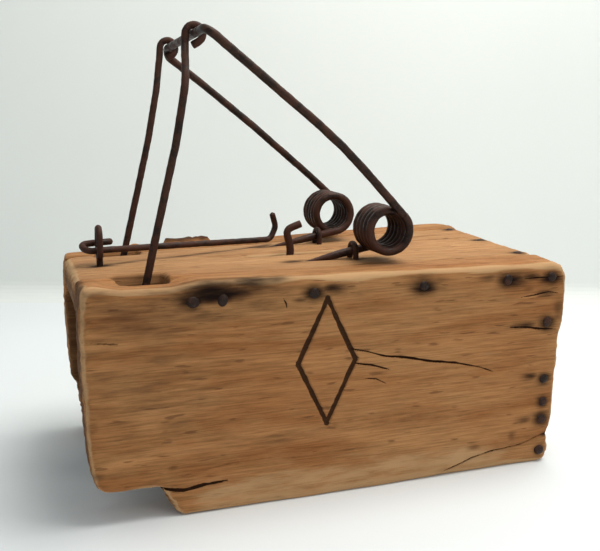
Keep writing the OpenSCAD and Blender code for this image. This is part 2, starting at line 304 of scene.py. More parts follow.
def iron_rust():
    """Blooms, flecks and pits of old rust."""
    if "Iron Rust" in bpy.data.node_groups:
        return bpy.data.node_groups["Iron Rust"]
    tree, given, end = new_group(
        "Iron Rust",
        [("Bloom Size", "NodeSocketFloat", 160.0), ("Bloom", "NodeSocketFloat", 0.5)],
        [("Blooms", "NodeSocketFloat"), ("Flecks", "NodeSocketFloat"),
         ("Rubbed", "NodeSocketFloat"), ("Height", "NodeSocketFloat")])
    place = add(tree, "ShaderNodeTexCoord").outputs["Object"]
    broad = cloud(tree, place, given["Bloom Size"], 4.0, 0.6)
    edge = calc(tree, "SUBTRACT", 0.95, given["Bloom"])
    inputs = {"Value": broad, "From Min": calc(tree, "SUBTRACT", edge, 0.09),
              "From Max": calc(tree, "ADD", edge, 0.12)}
    blooms = add(tree, "ShaderNodeMapRange", inputs, interpolation_type="SMOOTHSTEP").outputs[0]
    grit = cloud(tree, place, 1500.0, 3.0, 0.65)
    flecks = spread(tree, grit, 0.56, 0.70)
    rubbed = spread(tree, cloud(tree, place, 420.0, 2.0, 0.5), 0.50, 0.72)
    height = calc(tree, "ADD", calc(tree, "MULTIPLY", grit, 0.7), calc(tree, "MULTIPLY", blooms, 0.5))
    return finish_group(tree, end, {"Blooms": blooms, "Flecks": flecks, "Rubbed": rubbed,
                                    "Height": height})


def use_group(tree, group, inputs=None):
    node = tree.nodes.new("ShaderNodeGroup")
    node.node_tree = group
    for key, value in (inputs or {}).items():
        if isinstance(value, bpy.types.NodeSocket):
            tree.links.new(value, node.inputs[key])
        else:
            node.inputs[key].default_value = value
    return node.outputs


def new_material(name):
    """A material with an empty tree, its Principled shader and its output."""
    material = bpy.data.materials.new(name)
    material.use_nodes = True
    tree = material.node_tree
    tree.nodes.clear()
    shader = tree.nodes.new("ShaderNodeBsdfPrincipled")
    surface = tree.nodes.new("ShaderNodeOutputMaterial")
    tree.links.new(shader.outputs[0], surface.inputs["Surface"])
    return material, tree, shader


def bumped(tree, shader, height, strength, distance):
    bump = add(tree, "ShaderNodeBump", {"Height": height, "Strength": strength,
                                        "Distance": distance})
    tree.links.new(bump.outputs[0], shader.inputs["Normal"])


# Colours of the wood that the boards share
# The third colour darkens both grime and painted shade
WARM_PATCH, PORE, GRIME_AND_SHADE, CRACK = ((0.44, 0.230, 0.095), (0.10, 0.04, 0.018), (0.070, 0.027, 0.012),
                                  (0.030, 0.012, 0.006))


def wood_material(name, looks, heart, rings, paleness, shade=1.0):
    """Old handled softwood, stained round its iron and paler where it is rubbed."""
    material, tree, shader = new_material(name)
    grain = use_group(tree, plank_grain(), {"Heart": heart, "Rings per Metre": rings})
    mask = ragged_mask()
    stain = use_group(tree, mask, {"Paint": painted(tree, "stain"), "Raggedness": 0.55,
                                   "Start": 0.05, "Full": 1.05})["Mask"]
    wear = use_group(tree, mask, {"Paint": painted(tree, "wear"), "Raggedness": 0.9,
                                  "Start": 0.15, "Full": 0.85})["Mask"]
    crack = use_group(tree, mask, {"Paint": painted(tree, "crack"), "Raggedness": 0.25,
                                   "Start": 0.10, "Full": 0.60})["Mask"]
    # This paint darkens the wood with grime and with painted shade inside the box, on the slot walls
    # and on shaded ends
    dirt_and_shade = use_group(tree, mask, {"Paint": painted(tree, "dirt_and_shade"), "Raggedness": 0.7,
                                  "Start": 0.15, "Full": 1.0})["Mask"]
    patches = spread(tree, grain["Patches"], 0.36, 0.66)
    colour = tint(tree, grain["Rings"], rgba(looks.dark_wood, shade), rgba(looks.pale_wood, shade))
    warm = tint(tree, calc(tree, "MULTIPLY", patches, 0.6), colour,
                rgba(WARM_PATCH, shade))
    rubbed = tint(tree, paleness, warm, rgba(looks.worn_wood))
    fibre_shade = spread(tree, grain["Fibres"], 0.30, 0.70, 0.70, 1.16)
    lit = tint(tree, 1.0, rubbed, fibre_shade, "MULTIPLY")
    pored = tint(tree, calc(tree, "MULTIPLY", grain["Pores"], 0.55), lit, rgba(PORE))
    worn = tint(tree, calc(tree, "MULTIPLY", wear, 0.72), pored, rgba(looks.worn_wood))
    grimed_and_shaded = tint(tree, calc(tree, "MULTIPLY", dirt_and_shade, 0.80), worn, rgba(GRIME_AND_SHADE))
    stained = tint(tree, calc(tree, "MULTIPLY", stain, 1.0), grimed_and_shaded, rgba(looks.iron_stain))
    cracked = tint(tree, calc(tree, "MULTIPLY", crack, 0.93), stained, rgba(CRACK))
    tree.links.new(cracked, shader.inputs["Base Color"])
    rough = spread(tree, grain["Fibres"], 0.25, 0.75, 0.78, 0.60)
    tree.links.new(rough, shader.inputs["Roughness"])
    shader.inputs["Specular IOR Level"].default_value = 0.06
    bumped(tree, shader, grain["Height"], 0.55, 0.0005)
    return material


def iron_material(name, looks, bloom, gloss):
    """Dark handled iron with reddish rust blooms."""
    material, tree, shader = new_material(name)
    rust = use_group(tree, iron_rust(), {"Bloom Size": 190.0, "Bloom": bloom})
    base = tint(tree, rust["Rubbed"], rgba(looks.iron), rgba(looks.iron, 1.8))
    bloomed = tint(tree, calc(tree, "MULTIPLY", rust["Blooms"], 0.8), base, rgba(looks.rust))
    flecked = tint(tree, calc(tree, "MULTIPLY", rust["Flecks"], 0.5), bloomed,
                   rgba(looks.rust, 1.7))
    tree.links.new(flecked, shader.inputs["Base Color"])
    metal = spread(tree, rust["Blooms"], 0.0, 1.0, 0.45, 0.10)
    tree.links.new(metal, shader.inputs["Metallic"])
    rough = spread(tree, rust["Blooms"], 0.0, 1.0, gloss, gloss + 0.26)
    tree.links.new(rough, shader.inputs["Roughness"])
    shader.inputs["Specular IOR Level"].default_value = 0.25
    bumped(tree, shader, rust["Height"], 0.5, 0.0002)
    return material


# ---------- objects ----------

def new_piece(name, points, faces, material, slot, body, *replaced):
    """Makes an object of a mesh in millimetres, and says what it rides on and stands for."""
    mesh = bpy.data.meshes.new(name)
    mesh.from_pydata([tuple(p) for p in np.asarray(points) * MM], [], faces)
    mesh.validate()
    piece = link_piece(name, mesh, material)
    settle(piece, slot, body, *replaced)
    return piece


def link_piece(name, mesh, material):
    piece = bpy.data.objects.new(name, mesh)
    bpy.context.scene.collection.objects.link(piece)
    mesh.materials.append(material)
    mesh.shade_smooth()
    return piece


def settle(piece, slot, body, *replaced):
    if body:
        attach(piece, body)
    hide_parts(*replaced)


def joined(parts):
    """One list of points and faces from several."""
    points, faces, count = [], [], 0
    for some_points, some_faces in parts:
        points.append(some_points)
        faces += [[i + count for i in face] for face in some_faces]
        count += len(some_points)
    return np.concatenate(points), faces


# ---------- wires ----------

BEND_STEP = math.radians(7)
SIDES = 16
# A wire's domed end: its rings' levels from the tip, the tip's size and how far the dome stands out
CAP_LEVELS, CAP_TIP, CAP_REACH = [0.0, 0.5, 0.87], 0.30, 0.85


def unit(v):
    return v / np.linalg.norm(v)


def rounded(corners, radii):
    """A route through corner points, each inner corner rounded to its own radius."""
    corners = [np.asarray(c, float) for c in corners]
    route = [corners[0]]
    for a, p, b, r in zip(corners, corners[1:], corners[2:], radii[1:]):
        u, w = unit(a - p), unit(b - p)
        corner = math.acos(np.clip(u @ w, -1, 1))
        turn = math.pi - corner
        middle = p + unit(u + w) * (r / math.sin(corner / 2))
        x = unit(p + u * r * math.tan(turn / 2) - middle)
        steps = max(2, math.ceil(turn / BEND_STEP))
        for t in np.linspace(0, turn, steps + 1):
            route.append(middle + r * (x * math.cos(t) - u * math.sin(t)))
    return np.array(route + [corners[-1]])


def resampled(route, step):
    """The route with points an even distance apart."""
    lengths = np.linalg.norm(np.diff(route, axis=0), axis=1)
    keep = np.r_[True, lengths > 1e-6]
    route, lengths = route[keep], lengths[lengths > 1e-6]
    along = np.r_[0, np.cumsum(lengths)]
    places = np.linspace(0, along[-1], max(3, int(along[-1] / step)))
    return np.stack([np.interp(places, along, route[:, k]) for k in range(3)], axis=1), places


def wire(route, diameter, looks, seed, round_start=True, round_end=True, wobble=0.12, taper=0.0):
    """Points and faces of a slightly uneven round wire along a route."""
    route, along = resampled(np.asarray(route, float), looks.ring_step / MM)
    tangents = np.gradient(route, axis=0)
    tangents /= np.linalg.norm(tangents, axis=1)[:, None]
    hold = np.minimum(ease(along, 0, 12), ease(along[-1] - along, 0, 12))[:, None]
    steps = np.stack([drift(route, (38, 38, 38), seed + k) for k in range(3)], axis=1)
    route = route + wobble * hold * steps
    normal = np.cross(tangents[0], (0.3, 0.5, 0.8))
    radius = diameter / 2 * (1 - taper * ease(18 - along, 0, 18))
    turns = np.linspace(0, 2 * math.pi, SIDES, endpoint=False)
    ring_list = []

    def ring(middle, x, y, size, level):
        spokes = np.outer(np.cos(turns), x) + np.outer(np.sin(turns), y)
        skin = middle + spokes * size
        rough = drift(skin, (3.2, 3.2, 3.2), seed + 5) * 0.6 + drift(skin, (1.3, 1.3, 1.3), seed + 6)
        return skin + spokes * (rough * looks.pitting / MM * level)[:, None]

    def end_cap(middle, heading, x, y, size, levels):
        """Rings that close a wire's end with a dome; the tip is level 0."""
        for level in levels:
            share = math.sqrt(1 - (1 - level) ** 2) if level else CAP_TIP
            out = middle + heading * size * (1 - level) * CAP_REACH
            ring_list.append(ring(out, x, y, size * share, 0.6))

    last = len(route) - 1
    for i, (middle, heading) in enumerate(zip(route, tangents)):
        normal = unit(normal - heading * (normal @ heading))
        side = np.cross(heading, normal)
        if i == 0 and round_start:
            end_cap(middle, -heading, normal, side, radius[0], CAP_LEVELS)
        ring_list.append(ring(middle, normal, side, radius[i], 1.0))
        if i == last and round_end:
            end_cap(middle, heading, normal, side, radius[i], CAP_LEVELS[::-1])
    count = len(ring_list)
    points = np.concatenate(ring_list)
    faces = [[i * SIDES + k, i * SIDES + (k + 1) % SIDES,
              (i + 1) * SIDES + (k + 1) % SIDES, (i + 1) * SIDES + k]
             for i in range(count - 1) for k in range(SIDES)]
    faces.append(list(range(SIDES))[::-1])
    faces.append([(count - 1) * SIDES + k for k in range(SIDES)])
    return points, faces


def mirrored(shape):
    """The same points and faces on the other side of the centre line."""
    points, faces = shape
    return points * np.array([1, -1, 1]), [face[::-1] for face in faces]


# ---------- boards ----------

# Corners of the worn box: how far each top corner lies above the level top
CORNER_LIFT = {"front_left": 0.9, "front_right": -0.8, "back_right": 2.1, "back_left": -3.3}
# Wear where the boards meet, and how much lower the rim in front of the front slot is
INNER_WEAR, RIM_WEAR = 0.10, 1.7


def prism(outline, axis, start, end):
    """A closed prism as an object: the outline drawn across Y or Z, from start to end."""
    bm = bmesh.new()
    rows = [[bm.verts.new((a, level, b) if axis == "Y" else (a, b, level)) for a, b in outline]
            for level in (start, end)]
    count = len(outline)
    bm.faces.new(rows[0])
    bm.faces.new(rows[1][::-1])
    for k in range(count):
        bm.faces.new([rows[0][k], rows[1][k], rows[1][(k + 1) % count], rows[0][(k + 1) % count]])
    bmesh.ops.recalc_face_normals(bm, faces=bm.faces)
    mesh = bpy.data.meshes.new("blank")
    bm.to_mesh(mesh)
    bm.free()
    blank = bpy.data.objects.new("blank", mesh)
    bpy.context.scene.collection.objects.link(blank)
    return blank


def slab(low, high):
    corners = [(low[0], low[1]), (high[0], low[1]), (high[0], high[1]), (low[0], high[1])]
    return prism(corners, "Z", low[2], high[2])


def carved(blank, cutters, cell):
    """The blank with the cutters taken out of it, as an even mesh of small cells."""
    for cutter in cutters:
        cut = blank.modifiers.new("Cut", "BOOLEAN")
        cut.operation = "DIFFERENCE"
        cut.solver = "EXACT"
        cut.object = cutter
    grid = blank.modifiers.new("Even Cells", "REMESH")
    grid.mode = "VOXEL"
    grid.voxel_size = cell
    bpy.context.view_layer.update()
    depsgraph = bpy.context.evaluated_depsgraph_get()
    mesh = bpy.data.meshes.new_from_object(blank.evaluated_get(depsgraph))
    for used in [blank, *cutters]:
        old = used.data
        bpy.data.objects.remove(used)
        bpy.data.meshes.remove(old)
    return mesh


def read_points(mesh):
    points = np.empty(len(mesh.vertices) * 3)
    mesh.vertices.foreach_get("co", points)
    return points.reshape(-1, 3)


def write_points(mesh, points):
    mesh.vertices.foreach_set("co", np.asarray(points, np.float32).ravel())
    mesh.update()


def normals_of(mesh):
    normals = np.empty(len(mesh.vertices) * 3)
    mesh.vertex_normals.foreach_get("vector", normals)
    return normals.reshape(-1, 3)


def smoothed(mesh, points, weights, rounds):
    """Moves each point towards its neighbours' middle, by its weight, a number of times."""
    edges = np.empty(len(mesh.edges) * 2, int)
    mesh.edges.foreach_get("vertices", edges)
    a, b = edges.reshape(-1, 2).T
    count = len(points)
    degree = np.maximum(np.bincount(a, minlength=count) + np.bincount(b, minlength=count), 1)
    points = points.copy()
    for _ in range(rounds):
        middle = np.stack([(np.bincount(a, points[b, k], count) + np.bincount(b, points[a, k], count))
                           / degree for k in range(3)], axis=1)
        points += weights[:, None] * (middle - points)
    return points


def along_line(flat, line):
    """Distance from each flat point to a broken line, and how far along it, from 0 to 1."""
    line = np.asarray(line, float)
    lengths = np.linalg.norm(np.diff(line, axis=0), axis=1)
    starts = np.r_[0, np.cumsum(lengths)]
    best = np.full(len(flat), 1e9)
    where = np.zeros(len(flat))
    for a, b, start, length in zip(line, line[1:], starts, lengths):
        t = np.clip(((flat - a) @ (b - a)) / length ** 2, 0, 1)
        distance = np.linalg.norm(flat - a - t[:, None] * (b - a), axis=1)
        nearer = distance < best
        best[nearer] = distance[nearer]
        where[nearer] = (start + t[nearer] * length) / starts[-1]
    return best, where


class Slit:
    """A crack or knife cut in a board's face: a line on it, its width and its depth."""

    def __init__(self, line, width, depth, dark=1.0, blunt=False):
        self.line, self.width, self.depth = np.asarray(line, float), width, depth
        self.dark, self.blunt = dark, blunt

    def profile(self, flat, seed):
        distance, where = along_line(flat, self.line)
        places = np.stack([flat[:, 0], flat[:, 1], np.zeros(len(flat))], axis=1)
        distance = np.abs(distance + 0.12 * drift(places, (2.2, 1.1, 1), seed))
        narrow = 1.0 if self.blunt else np.sin(math.pi * np.clip(where, 0.04, 0.96)) ** 0.5
        return np.clip(1 - distance / (self.width * narrow), 0, 1)


def refined(mesh, flat_of, on_face, slits, margin=0.9, cuts=2):
    """Divides the cells near the slits, so that they have crisp sides."""
    for _ in range(cuts):
        points = read_points(mesh)
        flat = points[:, flat_of]
        near = np.zeros(len(points), bool)
        for slit in slits:
            near |= along_line(flat, slit.line)[0] < slit.width + margin
        near &= on_face(points)
        margin *= 0.45
        bm = bmesh.new()
        bm.from_mesh(mesh)
        bm.verts.ensure_lookup_table()
        edges = [e for e in bm.edges if near[e.verts[0].index] and near[e.verts[1].index]]
        bmesh.ops.subdivide_edges(bm, edges=edges, cuts=1, use_grid_fill=True)
        bm.to_mesh(mesh)
        bm.free()
    return mesh


def lift(points):
    """How far the worn top surface lies above the level one at each point."""
    u = (points[:, 0] - LEFT) / LENGTH
    v = (points[:, 1] - FRONT) / (BACK - FRONT)
    front = CORNER_LIFT["front_left"] * (1 - u) + CORNER_LIFT["front_right"] * u
    rear = CORNER_LIFT["back_left"] * (1 - u) + CORNER_LIFT["back_right"] * u
    sag = (front * (1 - v) + rear * v) * ease(points[:, 2], 30, TOP - 6)
    rim = ease(points[:, 0] - LEFT, 3, 13) * ease(LEFT + 38 - points[:, 0], 0, 12)
    rim = rim * ease(-points[:, 1], SLOT_OUT - 4, SLOT_OUT) * ease(points[:, 2], TOP - 16, TOP - 2)
    return sag - RIM_WEAR * rim


def blots(flat, marks):
    """Soft dark ellipses for stains, dirt and painted shade: each is x, y, left reach, right reach,
    height and strength.
    """
    total = np.zeros(len(flat))
    for x, y, left, right, tall, strength in marks:
        dx, dy = flat[:, 0] - x, flat[:, 1] - y
        reach = np.where(dx < 0, left, right)
        total = np.maximum(total, strength * np.exp(-1.1 * ((dx / reach) ** 2 + (dy / tall) ** 2)))
    return total


def read_paint(mesh, name):
    values = np.empty(len(mesh.vertices))
    mesh.attributes[name].data.foreach_get("value", values)
    return values


def add_paint(mesh, name, values):
    layer = mesh.attributes.new(name, "FLOAT", "POINT")
    layer.data.foreach_set("value", np.clip(values, 0, 1).astype(np.float32))


class Board:
    """A board being made: its even mesh and what is painted on it."""

    def __init__(self, mesh, looks, seed):
        self.mesh, self.looks, self.seed = mesh, looks, seed

    def wear_edges(self, weights):
        before = read_points(self.mesh)
        uneven = 0.65 + 0.5 * drift(before, (13, 9, 9), self.seed)
        amount = np.clip(weights(before) * uneven, 0, 1)
        after = smoothed(self.mesh, before, amount, self.looks.edge_wear)
        moved = np.linalg.norm(after - before, axis=1)
        write_points(self.mesh, after)
        self.rubbed = ease(moved, 0.10, 0.75)

    def weather(self):
        """Raises the grain, then tilts the top to the worn box's corners."""
        points = read_points(self.mesh)
        normals = normals_of(self.mesh)
        deep = self.looks.relief / MM
        grain = drift(points, (34, 2.2, 2.2), self.seed)
        grain = grain + 0.6 * drift(points, (14, 1.3, 1.3), self.seed + 1)
        ends = np.abs(normals[:, 0]) > 0.7
        rough = drift(points, (1.6, 1.6, 1.6), self.seed + 2)
        rough = rough + 0.8 * drift(points, (4, 3, 3), self.seed + 3)
        waves = 0.28 * drift(points, (48, 17, 17), self.seed + 4)
        shift = np.where(ends, 1.6 * deep * rough, deep * grain + waves)
        points = points + normals * shift[:, None]
        points[:, 2] += lift(points)
        write_points(self.mesh, points)

    def slit_all(self, flat_of, inward, on_face, slits):
        """Cuts the slits into a face, and paints them dark."""
        refined(self.mesh, flat_of, on_face, slits)
        points = read_points(self.mesh)
        dark, deepest = np.zeros(len(points)), np.zeros(len(points))
        flat = points[:, flat_of]
        face = on_face(points)
        for number, slit in enumerate(slits):
            amount = slit.profile(flat, self.seed + number) * face
            shape = amount ** (0.6 if slit.blunt else 1.0)
            deepest = np.maximum(deepest, shape * slit.depth)
            dark = np.maximum(dark, slit.dark * ease(amount, 0.0, 0.55))
        write_points(self.mesh, points + np.outer(deepest, inward))
        return dark

    def done(self, name, material, slot, node, crack, stain, dirt_and_shade, wear):
        """Paints the board and settles it as the piece that stands for its CAD node."""
        add_paint(self.mesh, "crack", crack)
        add_paint(self.mesh, "stain", stain)
        add_paint(self.mesh, "dirt_and_shade", dirt_and_shade)
        add_paint(self.mesh, "wear", wear)
        write_points(self.mesh, read_points(self.mesh) * MM)
        self.mesh.name = name
        piece = link_piece(name, self.mesh, material)
        settle(piece, slot, "box", node)
        return piece


# Slots, in millimetres from the open end and from the centre line
SLOT_X, SLOT_L, SLOT_IN, SLOT_OUT, SLOT_ROUND = 11.0, 17.3, 23.6, 36.8, 6.0
TRIGGER_SLOT_X, TRIGGER_SLOT_L, TRIGGER_SLOT_W = 62.6, 38.4, 4.4

TOP_NAIL_XS = [33.6, 42.9, 72.7, 111.9, 144.3, 162.3]
END_NAIL_ZS = [4.6, 16.6, 23.3, 32.2, 53.3]
END_NAIL_X = 161.3
ROOF_NAIL_YS = [-26, 0, 26]
ROOF_NAIL_X, ROOF_NAIL_LENGTH = 160.2, 20.0
TOP_NAIL_Z = 69.6


def leg_slot_cutter(side):
    """The scoop that a choker leg moves in, as a prism through the boards."""
    low, high, out, inner = LEFT + SLOT_X, LEFT + SLOT_X + SLOT_L, SLOT_OUT, SLOT_IN
    arc = [(low + SLOT_ROUND * (1 - math.cos(t)), out - SLOT_ROUND * (1 - math.sin(t)))
           for t in np.linspace(0, math.pi / 2, 8)]
    outline = [(low, inner), *arc, (high, out), (high, inner)]
    return prism([(x, y * side) for x, y in outline], "Z", ROOF - 1, TOP + 8)


# The outlines of the side boards, from the open end and from the base
FRONT_OUTLINE = [(0.2, 75.0), (-0.2, 60.5), (-0.3, 52.0), (0.1, 36.6), (0.8, 22.0), (1.6, 16.0),
                 (2.7, 12.6), (4.8, 10.9), (11.0, 10.5), (17.0, 10.7), (22.6, 10.4), (23.4, 8.6),
                 (24.6, 6.4), (25.4, 4.0), (27.0, 2.2), (28.1, 0.0), (160.6, -0.2), (163.2, 0.2),
                 (164.8, 1.8), (165.4, 4.6), (164.9, 9.0), (164.0, 11.2), (165.5, 13.2),
                 (166.6, 18.0), (166.5, 30.0), (167.0, 41.5), (167.4, 50.0), (168.4, 53.0),
                 (168.4, 62.0), (168.6, 70.0), (168.0, 74.0), (164.6, 75.6), (4.0, 75.6),
                 (1.4, 75.4)]
BACK_OUTLINE = [(0.6, 75.6), (0.0, 60.0), (0.3, 40.0), (0.9, 26.0), (2.2, 24.0), (3.7, 19.0),
                (4.4, 11.0), (5.0, 6.0), (7.0, 0.0), (161.5, 0.0), (164.5, 2.0), (165.6, 18.0),
                (165.2, 40.0), (166.2, 58.0), (167.4, 73.0), (165.4, 75.6)]


def from_corner(outline):
    return [(LEFT + x, z) for x, z in outline]


def lozenge_cuts():
    """A lozenge cut with a knife: four strokes whose ends overshoot a little."""
    x, z, half_w, half_h = 77.5, 46.5, 10.0, 21.0
    corners = [(x, z + half_h), (x + half_w, z), (x, z - half_h), (x - half_w, z)]
    strokes = []
    for a, b in zip(corners, corners[1:] + corners[:1]):
        a, b = np.array(a), np.array(b)
        over = (b - a) / np.linalg.norm(b - a) * 0.3
        strokes.append(Slit(from_corner([a - over, b + over]), 1.05, 0.85, 0.86, blunt=True))
    return strokes


def front_slits():
    """The front's cracks: each is a line, a width, a depth and, if not full, how dark it is."""
    cracks = [([(86.0, 50.0), (92.0, 48.6), (98.1, 46.5), (106.0, 45.4), (115.0, 43.2),
                (125.0, 41.6), (134.7, 39.1), (140.0, 36.9)], 0.75, 1.3),
              ([(86.5, 45.2), (93.0, 44.0), (100.0, 41.6)], 0.60, 0.9),
              ([(91.0, 39.5), (95.0, 38.9), (98.6, 36.9)], 0.50, 0.7),
              ([(-0.5, 59.0), (5.0, 58.2), (10.6, 57.7)], 0.45, 0.5, 0.45),
              ([(119.5, 0.8), (126.0, 2.9), (133.0, 5.4), (140.0, 6.8), (147.0, 7.3),
                (153.0, 7.8), (158.5, 9.6), (163.8, 11.2)], 0.80, 1.5),
              ([(20.0, 10.9), (25.0, 9.6), (29.4, 8.7), (36.0, 9.7), (43.5, 10.0)], 0.95, 1.5),
              ([(151.0, 70.2), (157.0, 70.4), (163.0, 70.2), (168.0, 70.4)], 0.50, 0.8),
              ([(146.0, 52.8), (153.0, 52.3), (159.0, 51.2), (166.5, 50.6)], 0.60, 1.1),
              ([(150.0, 63.6), (156.0, 64.2), (161.0, 65.0), (165.0, 64.3)], 0.55, 0.6),
              ([(28.0, 13.6), (38.0, 14.9), (47.0, 16.0)], 0.40, 0.35, 0.0),
              ([(62.4, 68.4), (63.3, 66.9), (63.6, 65.4)], 0.60, 0.7)]
    slits = [Slit(from_corner(line), width * 0.6, depth, *dark) for line, width, depth, *dark in cracks]
    return slits + lozenge_cuts()


FRONT_STAINS = [
    (33.6, 69.8, 7.0, 6.0, 3.6, 1.0), (42.9, 70.6, 6.0, 7.0, 3.6, 1.0),
    (40.0, 71.6, 18.0, 17.0, 4.8, 1.0), (52.0, 73.6, 10.0, 12.0, 2.6, 0.9),
    (60.0, 74.4, 7.0, 6.0, 1.7, 0.7), (44.0, 68.0, 22.0, 26.0, 5.5, 0.42),
    (72.7, 69.6, 4.8, 5.4, 3.8, 1.0), (79.0, 70.9, 5.0, 7.0, 2.2, 0.95),
    (68.0, 67.6, 3.5, 4.0, 1.0, 0.8),
    (111.9, 69.6, 6.8, 6.4, 3.8, 1.0), (118.0, 71.8, 4.5, 6.0, 1.6, 0.5),
    (144.3, 69.8, 6.0, 9.5, 3.5, 1.0), (136.5, 70.8, 5.0, 4.0, 2.0, 0.6),
    (154.0, 70.9, 7.0, 6.0, 1.7, 0.85), (162.3, 70.2, 6.5, 4.6, 3.5, 1.0),
    (160.0, 64.6, 5.0, 6.0, 1.7, 0.72), (152.5, 66.4, 3.0, 3.0, 1.2, 0.5),
    (161.3, 53.3, 5.0, 4.8, 4.0, 1.0), (153.5, 53.2, 8.0, 5.0, 1.6, 0.8),
    (165.5, 58.0, 2.6, 3.0, 6.0, 0.6),
    (161.3, 32.2, 3.6, 3.6, 3.0, 1.0), (155.5, 33.6, 5.0, 4.0, 1.7, 0.75),
    (161.3, 23.3, 3.2, 3.0, 2.9, 0.95),
    (161.3, 16.6, 5.0, 4.4, 3.5, 1.0), (154.0, 17.2, 5.5, 4.5, 1.6, 0.8),
    (161.3, 4.6, 2.7, 2.7, 2.5, 0.85), (163.5, 10.6, 2.6, 2.2, 1.3, 0.9)]
# Dark blots on the front face: the broad ones over the left part are painted shade that darkens the
# face towards its left end; the rest are dirt
FRONT_DIRT_AND_SHADE = [
    (14.0, 66.0, 20.0, 36.0, 12.0, 0.66), (16.0, 44.0, 30.0, 46.0, 30.0, 0.46),
    (85.0, 23.0, 70.0, 60.0, 1.9, 0.50), (60.0, 21.5, 30.0, 24.0, 1.4, 0.55),
    (134.0, 9.4, 3.6, 3.6, 1.3, 0.85), (149.0, 11.8, 2.2, 2.6, 2.2, 0.75),
    (144.0, 8.4, 6.0, 7.0, 1.6, 0.45), (46.0, 71.0, 34.0, 40.0, 7.0, 0.42),
    (30.0, 60.0, 40.0, 18.0, 9.0, 0.30), (30.0, 38.0, 22.0, 30.0, 16.0, 0.16),
    (2.0, 40.0, 4.0, 3.0, 30.0, 0.34), (2.5, 33.0, 3.0, 2.5, 4.0, 0.6),
    (3.0, 18.0, 4.0, 3.0, 5.0, 0.45), (20.0, 13.0, 9.0, 7.0, 2.2, 0.35),
    (26.0, 17.0, 2.0, 2.2, 1.2, 0.7), (24.0, 29.0, 1.6, 1.8, 0.8, 0.6),
    (95.0, 68.0, 40.0, 40.0, 6.0, 0.20), (152.0, 40.0, 14.0, 16.0, 18.0, 0.26),
    (120.0, 30.0, 40.0, 30.0, 9.0, 0.14), (72.0, 57.0, 3.6, 3.2, 1.1, 0.5),
    (71.5, 54.0, 1.6, 2.6, 2.6, 0.45)]


def front_face(points):
    return points[:, 1] < FRONT + 2.2


def outer_weights(points, inner, outer):
    """Full wear at a side board's outer face, and little at the joint with the others."""
    across = (np.abs(points[:, 1]) - inner) / (outer - inner)
    ends = ease(np.abs(points[:, 0]), RIGHT - 5, RIGHT - 2) * ease(TOP - points[:, 2], 3, 9)
    in_slot = ease(points[:, 0] - LEFT, 9, 10.5) * ease(LEFT + 30 - points[:, 0], 0, 1.5)
    in_slot = in_slot * ease(SLOT_OUT + 1.5 - np.abs(points[:, 1]), 0, 1.5)
    return (INNER_WEAR + (1 - INNER_WEAR) * ease(across, 0.15, 0.75)) * (1 - 0.6 * ends) * (
        1 - 0.75 * in_slot)


def slot_walls(points):
    """1 on the walls of the slots that the choker's legs move in."""
    x, y = points[:, 0] - LEFT, np.abs(points[:, 1])
    shade_inside = ease(x, SLOT_X - 1.0, SLOT_X - 0.4) * ease(SLOT_X + SLOT_L + 1.0 - x, 0, 0.6)
    return shade_inside * ease(SLOT_OUT + 0.8 - y, 0, 0.6) * ease(TOP - 1.2 - points[:, 2], 0, 1.5)


def broken_fibres(points, low_x, high_x, high_z, seed):
    """Splinters on a broken corner."""
    near = ease(high_z - points[:, 2], 0, 3) * ease(points[:, 0] - low_x, -2, 1)
    near = near * ease(high_x - points[:, 0], -1, 3)
    points[:, 2] += near * 0.55 * drift(points, (5, 1.3, 2.0), seed)
    points[:, 0] += near * 0.70 * drift(points, (6, 1.2, 1.2), seed + 1)


